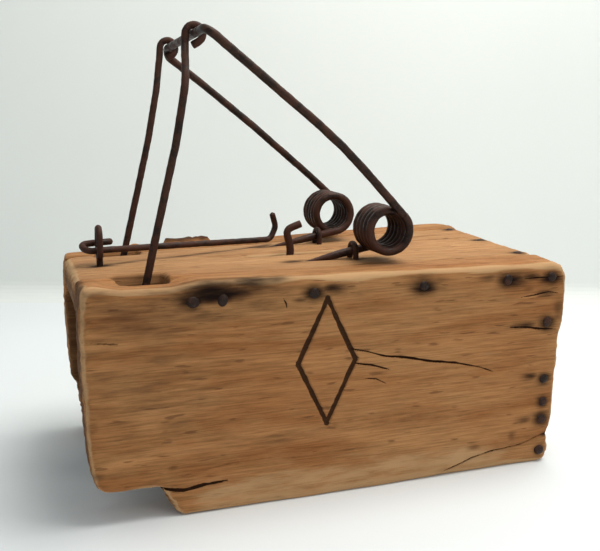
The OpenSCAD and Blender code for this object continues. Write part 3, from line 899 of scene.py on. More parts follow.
def build_front_board(looks):
    cell = looks.mesh_cell / MM
    outline = from_corner(FRONT_OUTLINE)
    blank = prism(outline, "Y", FRONT, FRONT_HIGH[1])
    board = Board(carved(blank, [leg_slot_cutter(-1)], cell), looks, 3)
    inner, outer = -FRONT_HIGH[1], -FRONT
    board.wear_edges(lambda p: outer_weights(p, inner, outer))
    points = read_points(board.mesh)
    broken_fibres(points, LEFT, LEFT + 31, 12.5, 21)
    # The splinter under the long split has sunk a little
    split = np.interp(points[:, 0] - LEFT, [119.5, 133, 147, 164], [0.8, 5.4, 7.3, 11.2])
    sunk = (points[:, 2] < split) & (points[:, 0] > LEFT + 119.5)
    points[:, 1] += np.where(sunk, 0.40 * ease(-points[:, 1], -FRONT - 6, -FRONT), 0)
    write_points(board.mesh, points)
    add_paint(board.mesh, "rub", board.rubbed)
    crack = board.slit_all([0, 2], (0, 1, 0), front_face, front_slits())
    points = read_points(board.mesh)
    wear = read_paint(board.mesh, "rub")
    face = points[:, 1] < FRONT + 4
    flat = points[:, [0, 2]] - [LEFT, 0]
    stain = blots(flat, FRONT_STAINS) * face
    dirt_and_shade = np.where(face, blots(flat, FRONT_DIRT_AND_SHADE), 0.25)
    low_band = ease(15 - points[:, 2], 0, 9) * ease(points[:, 0] - LEFT, 20, 45)
    wear = np.maximum(wear, 0.62 * low_band * ease(LEFT + 158 - points[:, 0], 0, 25) * face)
    # Painted shade on the inner face under the roof of the box
    shade_inside = ease(points[:, 1], FRONT_HIGH[1] - 3, FRONT_HIGH[1]) * ease(ROOF - points[:, 2], 0, 3)
    dirt_and_shade = np.maximum(dirt_and_shade, 0.75 * shade_inside)
    # Painted shade on the walls of the choker's slot
    dirt_and_shade = np.maximum(dirt_and_shade, 0.65 * slot_walls(points))
    # Painted shade on the board's left end
    left_end = ease(LEFT + 3.5 - points[:, 0], 0, 2.5) * ease(points[:, 1], FRONT + 1.5, FRONT + 4)
    dirt_and_shade = np.maximum(dirt_and_shade, 0.9 * left_end)
    # Painted shade under the broken lower corner and on the inner face near it
    lower = ease(12 - points[:, 2], 0, 3) * ease(LEFT + 32 - points[:, 0], 0, 4)
    dirt_and_shade = np.maximum(dirt_and_shade, 0.5 * lower * (points[:, 1] > FRONT + 1))
    board.weather()
    material = wood_material("Front Board Wood", looks, (0.0, 0.10, -0.02), 240.0, 0.0)
    return board.done("worn_front_board", material, "side_wood", "front_side_board",
                      crack, stain, dirt_and_shade, wear)


BACK_STAINS = ([(x, TOP_NAIL_Z, 5.0, 6.0, 3.1, 1.0) for x in TOP_NAIL_XS]
               + [(END_NAIL_X, z, 5.0, 4.0, 3.0, 1.0) for z in END_NAIL_ZS])
BACK_TOP_STRIP = (39.0, 59.0)


def build_back_board(looks):
    cell = looks.mesh_cell / MM
    blank = prism(from_corner(BACK_OUTLINE), "Y", BACK_LOW[1], BACK)
    board = Board(carved(blank, [leg_slot_cutter(1)], cell), looks, 5)
    board.wear_edges(lambda p: outer_weights(p, BACK_LOW[1], BACK))
    points = read_points(board.mesh)
    broken_fibres(points, LEFT, LEFT + 8, 26, 31)
    # A rough raised strip and a small bump on the top's back edge
    x = points[:, 0] - LEFT
    strip = ease(x, BACK_TOP_STRIP[0], BACK_TOP_STRIP[0] + 2) * ease(BACK_TOP_STRIP[1] - x, 0, 2)
    strip = strip * ease(points[:, 1], BACK - 9, BACK - 6) * ease(points[:, 2], TOP - 2.5, TOP - 0.5)
    bump = np.exp(-((x - 28) / 3.2) ** 2) * ease(points[:, 1], BACK - 9, BACK - 4)
    bump = bump * ease(points[:, 2], TOP - 2.5, TOP - 0.5)
    points[:, 2] += strip * (2.3 + 0.6 * drift(points, (2.4, 1.5, 50), 8)) + bump * 1.6
    write_points(board.mesh, points)
    add_paint(board.mesh, "rub", board.rubbed)
    add_paint(board.mesh, "strip", strip)

    def back_face(p):
        return p[:, 1] > BACK - 2.2

    cracks = [([(22, 40), (40, 38.6), (61, 39.2), (84, 37.0)], 0.7, 1.2),
              ([(96, 15), (118, 13.4), (140, 14.2), (165, 12.6)], 0.75, 1.3),
              ([(120, 58.6), (141, 57.2), (166, 57.8)], 0.6, 0.9)]
    slits = [Slit(from_corner(line), width, depth) for line, width, depth in cracks]
    crack = board.slit_all([0, 2], (0, -1, 0), back_face, slits)
    points = read_points(board.mesh)
    wear, strip = read_paint(board.mesh, "rub"), read_paint(board.mesh, "strip")
    face = points[:, 1] > BACK - 4
    stain = blots(points[:, [0, 2]] - [LEFT, 0], BACK_STAINS) * face
    dirt_and_shade = np.where(face, 0.15 + 0.2 * drift(points, (60, 20, 14), 4), 0.25)
    # Painted shade on the inner face under the roof of the box
    shade_inside = ease(BACK_LOW[1] + 3 - points[:, 1], 0, 3) * ease(ROOF - points[:, 2], 0, 3)
    dirt_and_shade = np.maximum(dirt_and_shade, 0.85 * shade_inside)
    # Painted shade on the walls of the choker's slot
    dirt_and_shade = np.maximum(dirt_and_shade, 0.65 * slot_walls(points))
    dirt_and_shade = np.maximum(dirt_and_shade, 1.0 * strip)
    stain = np.maximum(stain, 0.55 * strip)
    board.weather()
    material = wood_material("Back Board Wood", looks, (0.0, -0.06, 0.12), 220.0, 0.04)
    return board.done("worn_back_board", material, "side_wood", "back_side_board",
                      crack, stain, dirt_and_shade, wear)


def build_top_board(looks):
    cell = looks.mesh_cell / MM
    half = TRIGGER_SLOT_W / 2
    slot_low = LEFT + TRIGGER_SLOT_X
    blank = slab(TOP_LOW, TOP_HIGH)
    bar_x = LEFT + 20.6
    cutters = [leg_slot_cutter(-1), leg_slot_cutter(1),
               slab((slot_low, -half, ROOF - 1), (slot_low + TRIGGER_SLOT_L, half, TOP + 1)),
               slab((bar_x - 8, TOP_LOW[1] - 1, ROOF - 1), (bar_x + 3, TOP_HIGH[1] + 1, ROOF + 5)),
               slab((AXLE[0] - 7, -half - 0.2, ROOF - 1), (AXLE[0] + 7, 5.6, ROOF + 4.6))]
    board = Board(carved(blank, cutters, cell), looks, 9)

    def weights(p):
        ends = ease(np.abs(p[:, 0]), RIGHT - 6, RIGHT - 2)
        slot = ease(half + 2.5 - np.abs(p[:, 1]), 0, 1) * ease(p[:, 2], TOP - 3, TOP - 1) * 0.45
        return np.maximum(INNER_WEAR, np.maximum(ends, slot))

    board.wear_edges(weights)
    points = read_points(board.mesh)
    right = ease(points[:, 0], RIGHT - 12, RIGHT)
    points[:, 0] += right * (0.7 * drift(points, (40, 6, 30), 6) + 1.4)
    points[:, 2] -= 0.25 * ease(points[:, 2], TOP - 3, TOP)
    write_points(board.mesh, points)
    add_paint(board.mesh, "rub", board.rubbed)

    def top_face(p):
        return p[:, 2] > TOP - 2.6

    def placed(line):
        return [(LEFT + x, FRONT + y) for x, y in line]

    cracks = [([(0, 34.4), (9, 33.6), (22, 32.3), (35, 30.8), (47, 29.2)], 0.55, 0.9),
              ([(131, 53.2), (145, 52.6), (156, 53.1), (165.5, 52.8)], 0.70, 1.1),
              ([(101, 45.0), (112, 45.6), (124, 45.1)], 0.55, 0.8),
              ([(53, 46.0), (58, 45.6), (63, 45.3)], 0.50, 0.8),
              ([(108, 62.5), (126, 61.2), (149, 61.6), (165.5, 60.4)], 0.60, 0.8),
              ([(60, 25.6), (84, 24.6), (106, 25.4)], 0.42, 0.5)]
    slits = [Slit(placed(line), width, depth) for line, width, depth in cracks]
    crack = board.slit_all([0, 1], (0, 0, -1), top_face, slits)
    points = read_points(board.mesh)
    wear = read_paint(board.mesh, "rub")
    face = points[:, 2] > TOP - 3
    flat = points[:, :2]
    pin_x, pin_y = PIN[0], PIN[1]
    marks = [(pin_x, pin_y, 4.2, 6.0, 3.4, 1.0), (-8.5, -18.5, 5.0, 7.0, 2.4, 0.9),
             (-8.5, 18.5, 5.0, 7.0, 2.4, 0.9), (14.5, -21.2, 5.0, 5.0, 2.6, 0.7),
             (14.5, 21.2, 5.0, 5.0, 2.6, 0.7)]
    marks += [(LEFT + ROOF_NAIL_X, y, 4.0, 3.6, 3.0, 0.95) for y in ROOF_NAIL_YS]
    stain = blots(flat, marks) * face
    dirt_and_shade = np.where(face, 0.10 + 0.14 * drift(points, (40, 6, 14), 4), 0.3)
    # Grime and painted shade in a thin line under the latch arm
    turn = math.radians(LATCH_ANGLE)
    arm_x = (points[:, 0] - pin_x) * math.cos(turn) + (points[:, 1] - pin_y) * math.sin(turn)
    arm_y = (points[:, 1] - pin_y) * math.cos(turn) - (points[:, 0] - pin_x) * math.sin(turn)
    grime_and_shade_under_arm = np.exp(-(arm_y / 1.6) ** 2) * ease(arm_x, 0, 10) * ease(78 - arm_x, 0, 8)
    dirt_and_shade = np.maximum(dirt_and_shade, 0.55 * grime_and_shade_under_arm * face)
    # Painted shade on the underside of the top board, inside the box
    dirt_and_shade = np.maximum(dirt_and_shade, 0.8 * ease(TOP - 2 - points[:, 2], 0, 3) * (np.abs(points[:, 1]) < 29))
    # Painted shade on the top board's left end
    left_end = ease(LEFT + 3 - points[:, 0], 0, 2.5)
    dirt_and_shade = np.maximum(dirt_and_shade, 0.55 * left_end * ease(TOP - 3 - points[:, 2], 0, 3))
    board.weather()
    material = wood_material("Top Board Wood", looks, (0.0, 0.015, -0.03), 250.0, 0.26, 0.95)
    return board.done("worn_top_board", material, "top_wood", "top_board",
                      crack, stain, dirt_and_shade, wear)


def build_end_board(looks):
    cell = looks.mesh_cell / MM
    board = Board(carved(slab(END_LOW, END_HIGH), [], cell), looks, 13)
    board.wear_edges(lambda p: INNER_WEAR + 0.7 * ease(p[:, 0], END_HIGH[0] - 5, END_HIGH[0]))

    def end_face(p):
        return p[:, 0] > END_HIGH[0] - 2.2

    add_paint(board.mesh, "rub", board.rubbed)
    cracks = [([(-27, 41.0), (-12, 42.4), (4, 41.6), (17, 42.6)], 0.6, 1.0),
              ([(6, 18.0), (17, 17.2), (29.5, 17.8)], 0.6, 0.9)]
    crack = board.slit_all([1, 2], (-1, 0, 0), end_face,
                           [Slit(line, width, depth) for line, width, depth in cracks])
    points = read_points(board.mesh)
    wear = read_paint(board.mesh, "rub")
    dirt_and_shade = 0.16 + 0.2 * drift(points, (30, 40, 12), 7)
    # Painted shade on the end board's inner side, inside the box
    dirt_and_shade = np.maximum(dirt_and_shade, 0.8 * ease(END_HIGH[0] - 8 - points[:, 0], 0, 4))
    board.weather()
    material = wood_material("End Board Wood", looks, (-0.09, 0.0, 0.10), 230.0, 0.05)
    return board.done("worn_end_board", material, "end_wood", "end_board",
                      crack, np.zeros(len(points)), dirt_and_shade, wear)


# ---------- nails and staples ----------

NAIL_LENGTH = 27.0
# Radius and height of a nail, from the middle of its head to its point
NAIL_PROFILE = [(0.0, 0.62), (0.55, 0.60), (1.05, 0.50), (1.45, 0.34), (1.80, 0.06), (1.95, -0.28),
                (1.88, -0.62), (1.20, -0.80), (0.9, -1.2), (0.9, -22.0), (0.25, -26.6),
                (0.0, -NAIL_LENGTH)]


def nail(place, outward, seed, length=NAIL_LENGTH):
    """A hammered nail whose head stands a little proud of the wood."""
    rng = np.random.default_rng(seed)
    profile = [(r, level if level > -2 else level + NAIL_LENGTH - length) for r, level in NAIL_PROFILE]
    outward = unit(np.asarray(outward, float))
    x = unit(np.cross(outward, (0.21, 0.37, 0.9)))
    y = np.cross(outward, x)
    sides = 20
    turns = np.linspace(0, 2 * math.pi, sides, endpoint=False)
    lean = rng.normal(0, 0.05, 2)
    squash_x, squash_y = 1 + rng.normal(0, 0.05, 2)
    points, faces = [np.asarray(place) + outward * profile[0][1]], []
    for radius, level in profile[1:-1]:
        for t in turns:
            a, b = radius * math.cos(t) * squash_x, radius * math.sin(t) * squash_y
            tip = a * lean[0] + b * lean[1] if level > -1 else 0
            points.append(place + x * a + y * b + outward * (level + tip))
    points.append(np.asarray(place) + outward * profile[-1][1])
    points = np.array(points)
    head = (points - place) @ outward > -1
    points += np.outer(0.09 * drift(points, (0.9, 0.9, 0.9), seed) * head, outward)
    out = points - place - np.outer((points - place) @ outward, outward)
    points += out * (0.07 * drift(points, (1.1, 1.1, 1.1), seed + 1) * head)[:, None]
    rows = len(NAIL_PROFILE) - 2
    for k in range(sides):
        nxt = (k + 1) % sides
        faces.append([0, 1 + k, 1 + nxt])
        for row in range(rows - 1):
            a = 1 + row * sides
            faces.append([a + k, a + sides + k, a + sides + nxt, a + nxt])
        a = 1 + (rows - 1) * sides
        faces.append([a + k, len(points) - 1, a + nxt])
    return points, faces


def surface_lift(x, y):
    return float(lift(np.array([[x, y, TOP]]))[0])


def build_nails(looks):
    material = iron_material("Nail Iron", looks, 0.40, 0.46)
    made = []
    for name, side, node_top, node_end in [("front", -1, "front_top_nails", "front_end_nails"),
                                           ("back", 1, "back_top_nails", "back_end_nails")]:
        face = FRONT if side < 0 else BACK
        top = [nail((LEFT + x, face, TOP_NAIL_Z), (0, side, 0), 40 + k + 20 * side)
               for k, x in enumerate(TOP_NAIL_XS)]
        end = [nail((LEFT + END_NAIL_X, face, z), (0, side, 0), 80 + k + 20 * side)
               for k, z in enumerate(END_NAIL_ZS)]
        made.append(new_piece(f"rusty_{name}_top_nails", *joined(top), material, "nail_steel",
                              "box", node_top))
        made.append(new_piece(f"rusty_{name}_end_nails", *joined(end), material, "nail_steel",
                              "box", node_end))
    x = LEFT + ROOF_NAIL_X
    roof = [nail((x, y, TOP - 0.25 + surface_lift(x, y)), (0, 0, 1), 120 + k,
                 ROOF_NAIL_LENGTH)
            for k, y in enumerate(ROOF_NAIL_YS)]
    made.append(new_piece("rusty_top_end_nails", *joined(roof), material, "nail_steel",
                          "box", "top_end_nails"))
    return made


# The spring's sizes
SPRING_D, COIL_R, COIL_TURN, COIL_Y = 2.8, 7.0, 2.86, 26.4
COIL_SWEEP_TURNS, FIXED_LEG_RUN, FIXED_LEG_END_Y = 5, 28.0, 18.5
BAIL_Y, STAPLE_D, STAPLE_X = COIL_Y + 7.6, 2.0, 14.5


def arm_angle():
    dx, dz = CROSS[0] - COIL_AXIS[0], CROSS[2] - COIL_AXIS[2]
    return math.atan2(dz, dx) - math.acos(COIL_R / math.hypot(dx, dz))


def coil_size():
    """The coil's sweep, and the distance of its two ends from the centre line."""
    sweep = arm_angle() + math.pi / 2 + 2 * math.pi * COIL_SWEEP_TURNS
    length = COIL_TURN * sweep / (2 * math.pi)
    return sweep, COIL_Y - length / 2, COIL_Y + length / 2


def fixed_leg_at(x):
    inner = coil_size()[1]
    leg_depth = COIL_AXIS[2] - TOP - COIL_R
    t = (COIL_AXIS[0] - x) / FIXED_LEG_RUN
    return np.array([x, inner + (FIXED_LEG_END_Y - inner) * t, TOP + leg_depth - (leg_depth + 1.5) * t])


def build_staples(looks):
    material = iron_material("Staple Iron", looks, 0.5, 0.48)
    half = SPRING_D / 2 + STAPLE_D / 2 + 0.25
    middle = fixed_leg_at(STAPLE_X)
    high = middle[2] + SPRING_D / 2 + STAPLE_D / 2 + 0.15
    y = middle[1]
    corners = [(STAPLE_X, y - half, TOP - 9), (STAPLE_X, y - half, high), (STAPLE_X, y + half, high),
               (STAPLE_X, y + half, TOP - 9)]
    route = rounded(corners, [0, half - 0.2, half - 0.2, 0])
    made = []
    for name, node, seed, flip in [("rusty_front_leg_staple", "front_leg_staple", 51, True),
                                   ("rusty_back_leg_staple", "back_leg_staple", 57, False)]:
        shape = wire(route, STAPLE_D, looks, seed, wobble=0.05)
        made.append(new_piece(name, *(mirrored(shape) if flip else shape), material, "staple_wire",
                              "box", node))
    small = 1.4
    reach = 1.0 + small / 2 + 0.1
    hang = ROOF - 2.0 - small / 2 - 0.1
    parts = []
    for side in (-9, 9):
        a, b = AXLE[0] - reach, AXLE[0] + reach
        corners = [(a, side, ROOF + 8), (a, side, hang), (b, side, hang), (b, side, ROOF + 8)]
        parts.append(wire(rounded(corners, [0, reach - 0.2, reach - 0.2, 0]), small, looks,
                          60 + side, wobble=0.0))
    made.append(new_piece("rusty_axle_staples", *joined(parts), material, "staple_wire", "box",
                          "axle_staples"))
    return made


def build_coils(looks):
    material = iron_material("Coil Iron", looks, 0.50, 0.36)
    sweep, inner, outer = coil_size()
    turns = np.linspace(0, sweep, int(sweep / math.radians(5)))
    route = [(COIL_AXIS[0] + COIL_R * math.cos(t - math.pi / 2), inner + (outer - inner) * t / sweep,
              COIL_AXIS[2] + COIL_R * math.sin(t - math.pi / 2)) for t in turns]
    leg = fixed_leg_at(COIL_AXIS[0] - FIXED_LEG_RUN)
    shape = wire(np.concatenate([[leg], route]), SPRING_D + 0.16, looks, 71, round_start=False,
                 round_end=False, wobble=0.03, taper=0.62)
    made = []
    for name, node, side in [("wound_front_coil", "front_coil", -1),
                             ("wound_back_coil", "back_coil", 1)]:
        coil = new_piece(name, *(mirrored(shape) if side < 0 else shape), material, "spring_wire",
                         None, node)
        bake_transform(coil)
        made.append(coil)
    return made


CROSS_TILT = math.radians(1.6)
ARM_BOW = 1.5


def cross_z(y):
    return CROSS[2] - y * math.tan(CROSS_TILT)


def build_bail(looks):
    """The sprung frame: an arm up from each coil and the crossbar between them."""
    angle, outer = arm_angle(), coil_size()[2]
    foot = (COIL_AXIS[0] + COIL_R * math.cos(angle), COIL_AXIS[2] + COIL_R * math.sin(angle))
    front_foot = np.array([foot[0], -outer, foot[1]])
    back_foot = np.array([foot[0], outer, foot[1]])
    front_corner = np.array([CROSS[0], -BAIL_Y, cross_z(-BAIL_Y)])
    back_corner = np.array([CROSS[0], BAIL_Y, cross_z(BAIL_Y)])
    back_bend = back_corner + [0.6, 0, -3]
    bow = np.array([math.cos(angle), 0, math.sin(angle)]) * ARM_BOW
    front_knee = front_corner * 0.36 + front_foot * 0.64 + bow * 2.1
    back_knee = back_corner * 0.5 + back_foot * 0.5 + bow * 0.5
    route = rounded([front_foot, front_knee, front_corner, back_corner, back_bend, back_knee,
                     back_foot], [0, 160, 4.2, 1.9, 1.9, 700, 0])
    shape = wire(route, SPRING_D, looks, 83, round_start=False, round_end=False, wobble=0.16)
    material = iron_material("Bail Iron", looks, 0.46, 0.40)
    return new_piece("forged_spring_bail", *shape, material, "spring_wire", "bail", "spring_bail")


CHOKER_D, CHOKER_Y = 2.5, 27.4
EYE_R = SPRING_D / 2 + CHOKER_D / 2 + 0.2
FRONT_EYE_Y, BACK_EYE_Y = -16.5, 31.0


def choker_leg(eye_y, side):
    top = cross_z(eye_y)
    return [np.array(p) for p in [
        (CROSS[0] - EYE_R, eye_y, top), (CROSS[0] - EYE_R - 0.2, eye_y, top - 3),
        (CROSS[0] - EYE_R - 2.4, side * CHOKER_Y, top - 15.5),
        (LEFT + 32.9, side * CHOKER_Y, TOP + 41), (LEFT + 20.6, side * CHOKER_Y, TOP - 9.5)]]


def choker_eye(eye_y):
    """The hook over the crossbar, from its cut tip round to the top of the leg."""
    middle = np.array([CROSS[0], eye_y, cross_z(eye_y)])
    first, tip = math.radians(-60), 2.2
    points = [middle + EYE_R * np.array([math.cos(first), 0, math.sin(first)])
              + tip * np.array([math.sin(first), 0, -math.cos(first)])]
    for t in np.linspace(first, math.pi, 30):
        points.append(middle + EYE_R * np.array([math.cos(t), 0, math.sin(t)]))
    return points


def build_choker(looks):
    front, back = choker_leg(FRONT_EYE_Y, -1), choker_leg(BACK_EYE_Y, 1)
    loop = rounded(front + back[::-1], [0, 4, 12, 60, 3, 3, 60, 12, 4, 0])
    route = choker_eye(FRONT_EYE_Y) + list(loop[1:-1]) + choker_eye(BACK_EYE_Y)[::-1]
    shape = wire(route, CHOKER_D, looks, 95, round_start=False, round_end=False, wobble=0.22)
    material = iron_material("Choker Iron", looks, 0.52, 0.46)
    return new_piece("bent_choker", *shape, material, "choker_wire", "choker", "choker")


PIN_D, PIN_RING_R, PIN_TOP = 2.2, 3.0, 13.0
LATCH_D, LATCH_REACH, LATCH_ANGLE, LATCH_AXIS_H, LATCH_RISE = 2.3, 75.0, 20.0, 5.1, 0.9


def build_latch(looks):
    """The eye pin that turns in the top board, and the arm that hooks through it."""
    material = iron_material("Latch Iron", looks, 0.48, 0.42)
    low, high = PIN_D / 2 + PIN_RING_R + 0.4, PIN_TOP - PIN_D / 2 - PIN_RING_R
    turns = np.linspace(-math.pi / 2, 1.5 * math.pi, 60)
    ring = [(0, PIN_RING_R * math.cos(t), (high if math.sin(t) > 0 else low) + PIN_RING_R * math.sin(t))
            for t in turns]
    ring_shape = wire(np.array(ring) + PIN, PIN_D, looks, 103, wobble=0.0)
    shank = [(0, 0, 0.5 - (TOP - ROOF)), (0, 0, low - PIN_RING_R)]
    shank_shape = wire(np.array(shank) + PIN, PIN_D, looks, 107, wobble=0.0)
    pin = new_piece("turning_eye_pin", *joined([ring_shape, shank_shape]), material, "latch_wire",
                    "latch_pin", "latch_eye_pin")
    hook_y = PIN_RING_R + PIN_D / 2 + LATCH_D / 2 + 0.35
    arm_z, hook_z = LATCH_AXIS_H - LATCH_RISE, LATCH_AXIS_H + LATCH_RISE
    tip_z = LATCH_D / 2 + 0.25
    corners = [(6.8, hook_y, hook_z), (-4.4, hook_y, hook_z), (-4.4, 0, arm_z), (2, 0, arm_z),
               (LATCH_REACH - 2, 0, tip_z), (LATCH_REACH + 0.5, 0, tip_z + 5),
               (LATCH_REACH - 1, 0, tip_z + 9.5)]
    route = rounded(corners, [0, 2.7, 2.7, 20, 3, 3, 0])
    turn = np.array(Matrix.Rotation(math.radians(LATCH_ANGLE), 3, "Z"))
    shape = wire(route @ turn.T + PIN, LATCH_D, looks, 109, wobble=0.14)
    arm = new_piece("hooked_latch_arm", *shape, material, "latch_wire", "latch", "latch_arm")
    return pin, arm


TRIGGER_D, AXLE_R, AXLE_L = 2.8, 1.0, 26.0


def build_trigger(looks):
    material = iron_material("Trigger Iron", looks, 0.55, 0.44)
    radius = AXLE_R + TRIGGER_D / 2 + 0.12
    turn = [(AXLE[0] + radius * math.cos(t), (TRIGGER_D + 0.1) * (t / math.pi - 1) / 2,
             AXLE[2] + radius * math.sin(t)) for t in np.linspace(math.pi, 3 * math.pi, 50)]
    turn = [np.array(p) for p in turn]
    first, last = turn[0], turn[-1]
    px = AXLE[0]
    catch = rounded([(px + 3.6, 0, TOP + 10.2), (px - 2.2, 0, TOP + 8.2), (px + 0.2, 0, TOP + 0.5),
                     first + [0, 0, 5], first], [0, 2.4, 12, 12, 0])
    bait = rounded([last, last - [0, 0, 28], last - [8, 0, 31], last - [10, 0, 24]], [0, 4, 3, 0])
    route = list(catch[:-1]) + turn + list(bait[1:])
    shape = wire(route, TRIGGER_D, looks, 127, round_start=False, wobble=0.1)
    trigger = new_piece("bent_trigger_wire", *shape, material, "latch_wire", "trigger",
                        "trigger_wire")
    ends = [(px, -AXLE_L / 2, AXLE[2]), (px, AXLE_L / 2, AXLE[2])]
    axle = new_piece("rusty_trigger_axle", *wire(ends, 2 * AXLE_R, looks, 131, round_start=False,
                                                 round_end=False, wobble=0.0),
                     material, "staple_wire", "box", "trigger_axle")
    return trigger, axle


# ---------- the stage ----------

CAMERA_PLACE = (-0.0977, -0.2870, 0.1266)
CAMERA_YAW, CAMERA_PITCH, CAMERA_ROLL = 18.98, 11.24, 0.21
CAMERA_LENS = 49.56


def stage_material(name, colour, roughness, variation, one_sided=False):
    material, tree, shader = new_material(name)
    place = add(tree, "ShaderNodeTexCoord").outputs["Object"]
    patches = cloud(tree, place, 3.0, 3.0, 0.5)
    shade = spread(tree, patches, 0.25, 0.75, 1.0 - variation, 1.0)
    tree.links.new(tint(tree, 1.0, rgba(colour), shade, "MULTIPLY"), shader.inputs["Base Color"])
    shader.inputs["Roughness"].default_value = roughness
    shader.inputs["Specular IOR Level"].default_value = 0.25
    bumped(tree, shader, cloud(tree, place, 900.0, 3.0, 0.6), 0.12, 0.0002)
    if one_sided:
        clear = add(tree, "ShaderNodeBsdfTransparent")
        back = add(tree, "ShaderNodeNewGeometry").outputs["Backfacing"]
        mix = add(tree, "ShaderNodeMixShader", {0: back})
        tree.links.new(shader.outputs[0], mix.inputs[1])
        tree.links.new(clear.outputs[0], mix.inputs[2])
        end = next(n for n in tree.nodes if n.type == "OUTPUT_MATERIAL")
        tree.links.new(mix.outputs[0], end.inputs["Surface"])
    return material


def build_stage(looks):
    """The table, a backdrop behind it, soft light and the camera."""
    scene = bpy.context.scene
    yaw = math.radians(CAMERA_YAW)
    ahead = Vector((math.sin(yaw), math.cos(yaw), 0))
    aside = Vector((math.cos(yaw), -math.sin(yaw), 0))
    eye = Vector(CAMERA_PLACE)
    foot = Vector((eye.x, eye.y, 0)) + ahead * looks.table_reach
    table = bpy.data.meshes.new("stage_table")
    reach = 2.5
    corners = [foot + aside * reach, foot - aside * reach, foot - aside * reach - ahead * 4,
               foot + aside * reach - ahead * 4]
    # The rear strip of the table lies behind the backdrop and is seen only from behind
    rear = [foot + aside * reach + ahead * 3, foot - aside * reach + ahead * 3]
    table.from_pydata([*corners, *rear], [], [[0, 1, 2, 3], [0, 4, 5, 1]])
    floor = bpy.data.objects.new("stage_table", table)
    wall_mesh = bpy.data.meshes.new("stage_wall")
    bend, steps, tall = 0.012, 8, 2.2
    rows = [foot - ahead * bend + (ahead * math.sin(t) + Vector((0, 0, 1 - math.cos(t)))) * bend
            for t in np.linspace(0, math.pi / 2, steps)] + [foot + Vector((0, 0, tall))]
    points = [row + side * aside * reach + Vector((0, 0, 0.0002)) for row in rows
              for side in (-1, 1)]
    faces = [[2 * k, 2 * k + 1, 2 * k + 3, 2 * k + 2] for k in range(len(rows) - 1)]
    wall_mesh.from_pydata(points, [], faces)
    wall = bpy.data.objects.new("stage_wall", wall_mesh)
    for stage, material in [(floor, stage_material("Pale Table", looks.table, 0.75, 0.05)),
                            (wall, stage_material("Pale Wall", looks.wall, 0.9, 0.06, True))]:
        scene.collection.objects.link(stage)
        stage.data.materials.append(material)
    for polygon in wall_mesh.polygons:
        if polygon.normal.dot(ahead) > 0.3:
            raise RuntimeError("the backdrop faces away from the camera")
    world = bpy.data.worlds.new("Room")
    scene.world = world
    world.use_nodes = True
    background = world.node_tree.nodes["Background"]
    background.inputs["Color"].default_value = (0.93, 0.97, 1.0, 1.0)
    background.inputs["Strength"].default_value = looks.sky
    lamps = [("Key", (0.14, -0.04, 0.57), (0.0, 0.02, 0.03), 0.34, looks.key_power, (1.0, 0.97, 0.92)),
             ("Wall Wash", (0.20, -0.05, 0.62), (0.08, 0.32, 0.32), 0.5, looks.key_power * 0.34,
              (1.0, 1.0, 1.0)),
             ("Fill", (0.45, -0.70, 0.45), (0.03, 0.0, 0.03), 0.6, looks.key_power * 0.46,
              (1.0, 0.96, 0.90))]
    for name, place, target, size, power, colour in lamps:
        data = bpy.data.lights.new(name, "AREA")
        data.shape, data.size, data.energy, data.color = "SQUARE", size, power, colour
        lamp = bpy.data.objects.new(name, data)
        lamp.location = place
        lamp.rotation_euler = (Vector(target) - Vector(place)).to_track_quat("-Z", "Y").to_euler()
        scene.collection.objects.link(lamp)
    camera_data = bpy.data.cameras.new("Camera")
    camera_data.lens, camera_data.sensor_width = CAMERA_LENS, 36.0
    camera_data.clip_start, camera_data.clip_end = 0.01, 20.0
    camera = bpy.data.objects.new("Camera", camera_data)
    turn = (Matrix.Rotation(-yaw, 4, "Z") @ Matrix.Rotation(math.radians(90 - CAMERA_PITCH), 4, "X")
            @ Matrix.Rotation(math.radians(CAMERA_ROLL), 4, "Z"))
    camera.matrix_world = Matrix.Translation(eye) @ turn
    scene.collection.objects.link(camera)
    scene.camera = camera
    scene.view_settings.view_transform = "Standard"


# ---------- operators and panel ----------

class Maker:
    """What the operators share: each runs its builders with one group of settings."""

    def execute(self, context):
        for build in self.builders:
            build(getattr(context.scene, self.settings))
        return {"FINISHED"}


class TRAP_OT_stage(Maker, bpy.types.Operator):
    """Make the table, the backdrop, the light and the camera"""
    bl_idname = "trap.stage"
    bl_label = "Stage"
    settings, builders = "trap_stage", [build_stage]


class TRAP_OT_side_boards(Maker, bpy.types.Operator):
    """Make the two worn side boards with their slots, broken corners and cracks"""
    bl_idname = "trap.side_boards"
    bl_label = "Side Boards"
    settings, builders = "trap_boards", [build_front_board, build_back_board]


class TRAP_OT_top_board(Maker, bpy.types.Operator):
    """Make the worn top board with its slots and the recesses under it"""
    bl_idname = "trap.top_board"
    bl_label = "Top Board"
    settings, builders = "trap_boards", [build_top_board]


class TRAP_OT_end_board(Maker, bpy.types.Operator):
    """Make the board that closes the right end"""
    bl_idname = "trap.end_board"
    bl_label = "End Board"
    settings, builders = "trap_boards", [build_end_board]


class TRAP_OT_nails(Maker, bpy.types.Operator):
    """Make the hammered nails that hold the boards"""
    bl_idname = "trap.nails"
    bl_label = "Nails"
    settings, builders = "trap_wires", [build_nails]


class TRAP_OT_staples(Maker, bpy.types.Operator):
    """Make the staples over the spring's legs and the trigger's axle"""
    bl_idname = "trap.staples"
    bl_label = "Staples"
    settings, builders = "trap_wires", [build_staples]


class TRAP_OT_coils(Maker, bpy.types.Operator):
    """Make the two wound coils between the box and the bail"""
    bl_idname = "trap.coils"
    bl_label = "Coils"
    settings, builders = "trap_wires", [build_coils]


class TRAP_OT_bail(Maker, bpy.types.Operator):
    """Make the sprung bail with its crossbar"""
    bl_idname = "trap.bail"
    bl_label = "Bail"
    settings, builders = "trap_wires", [build_bail]


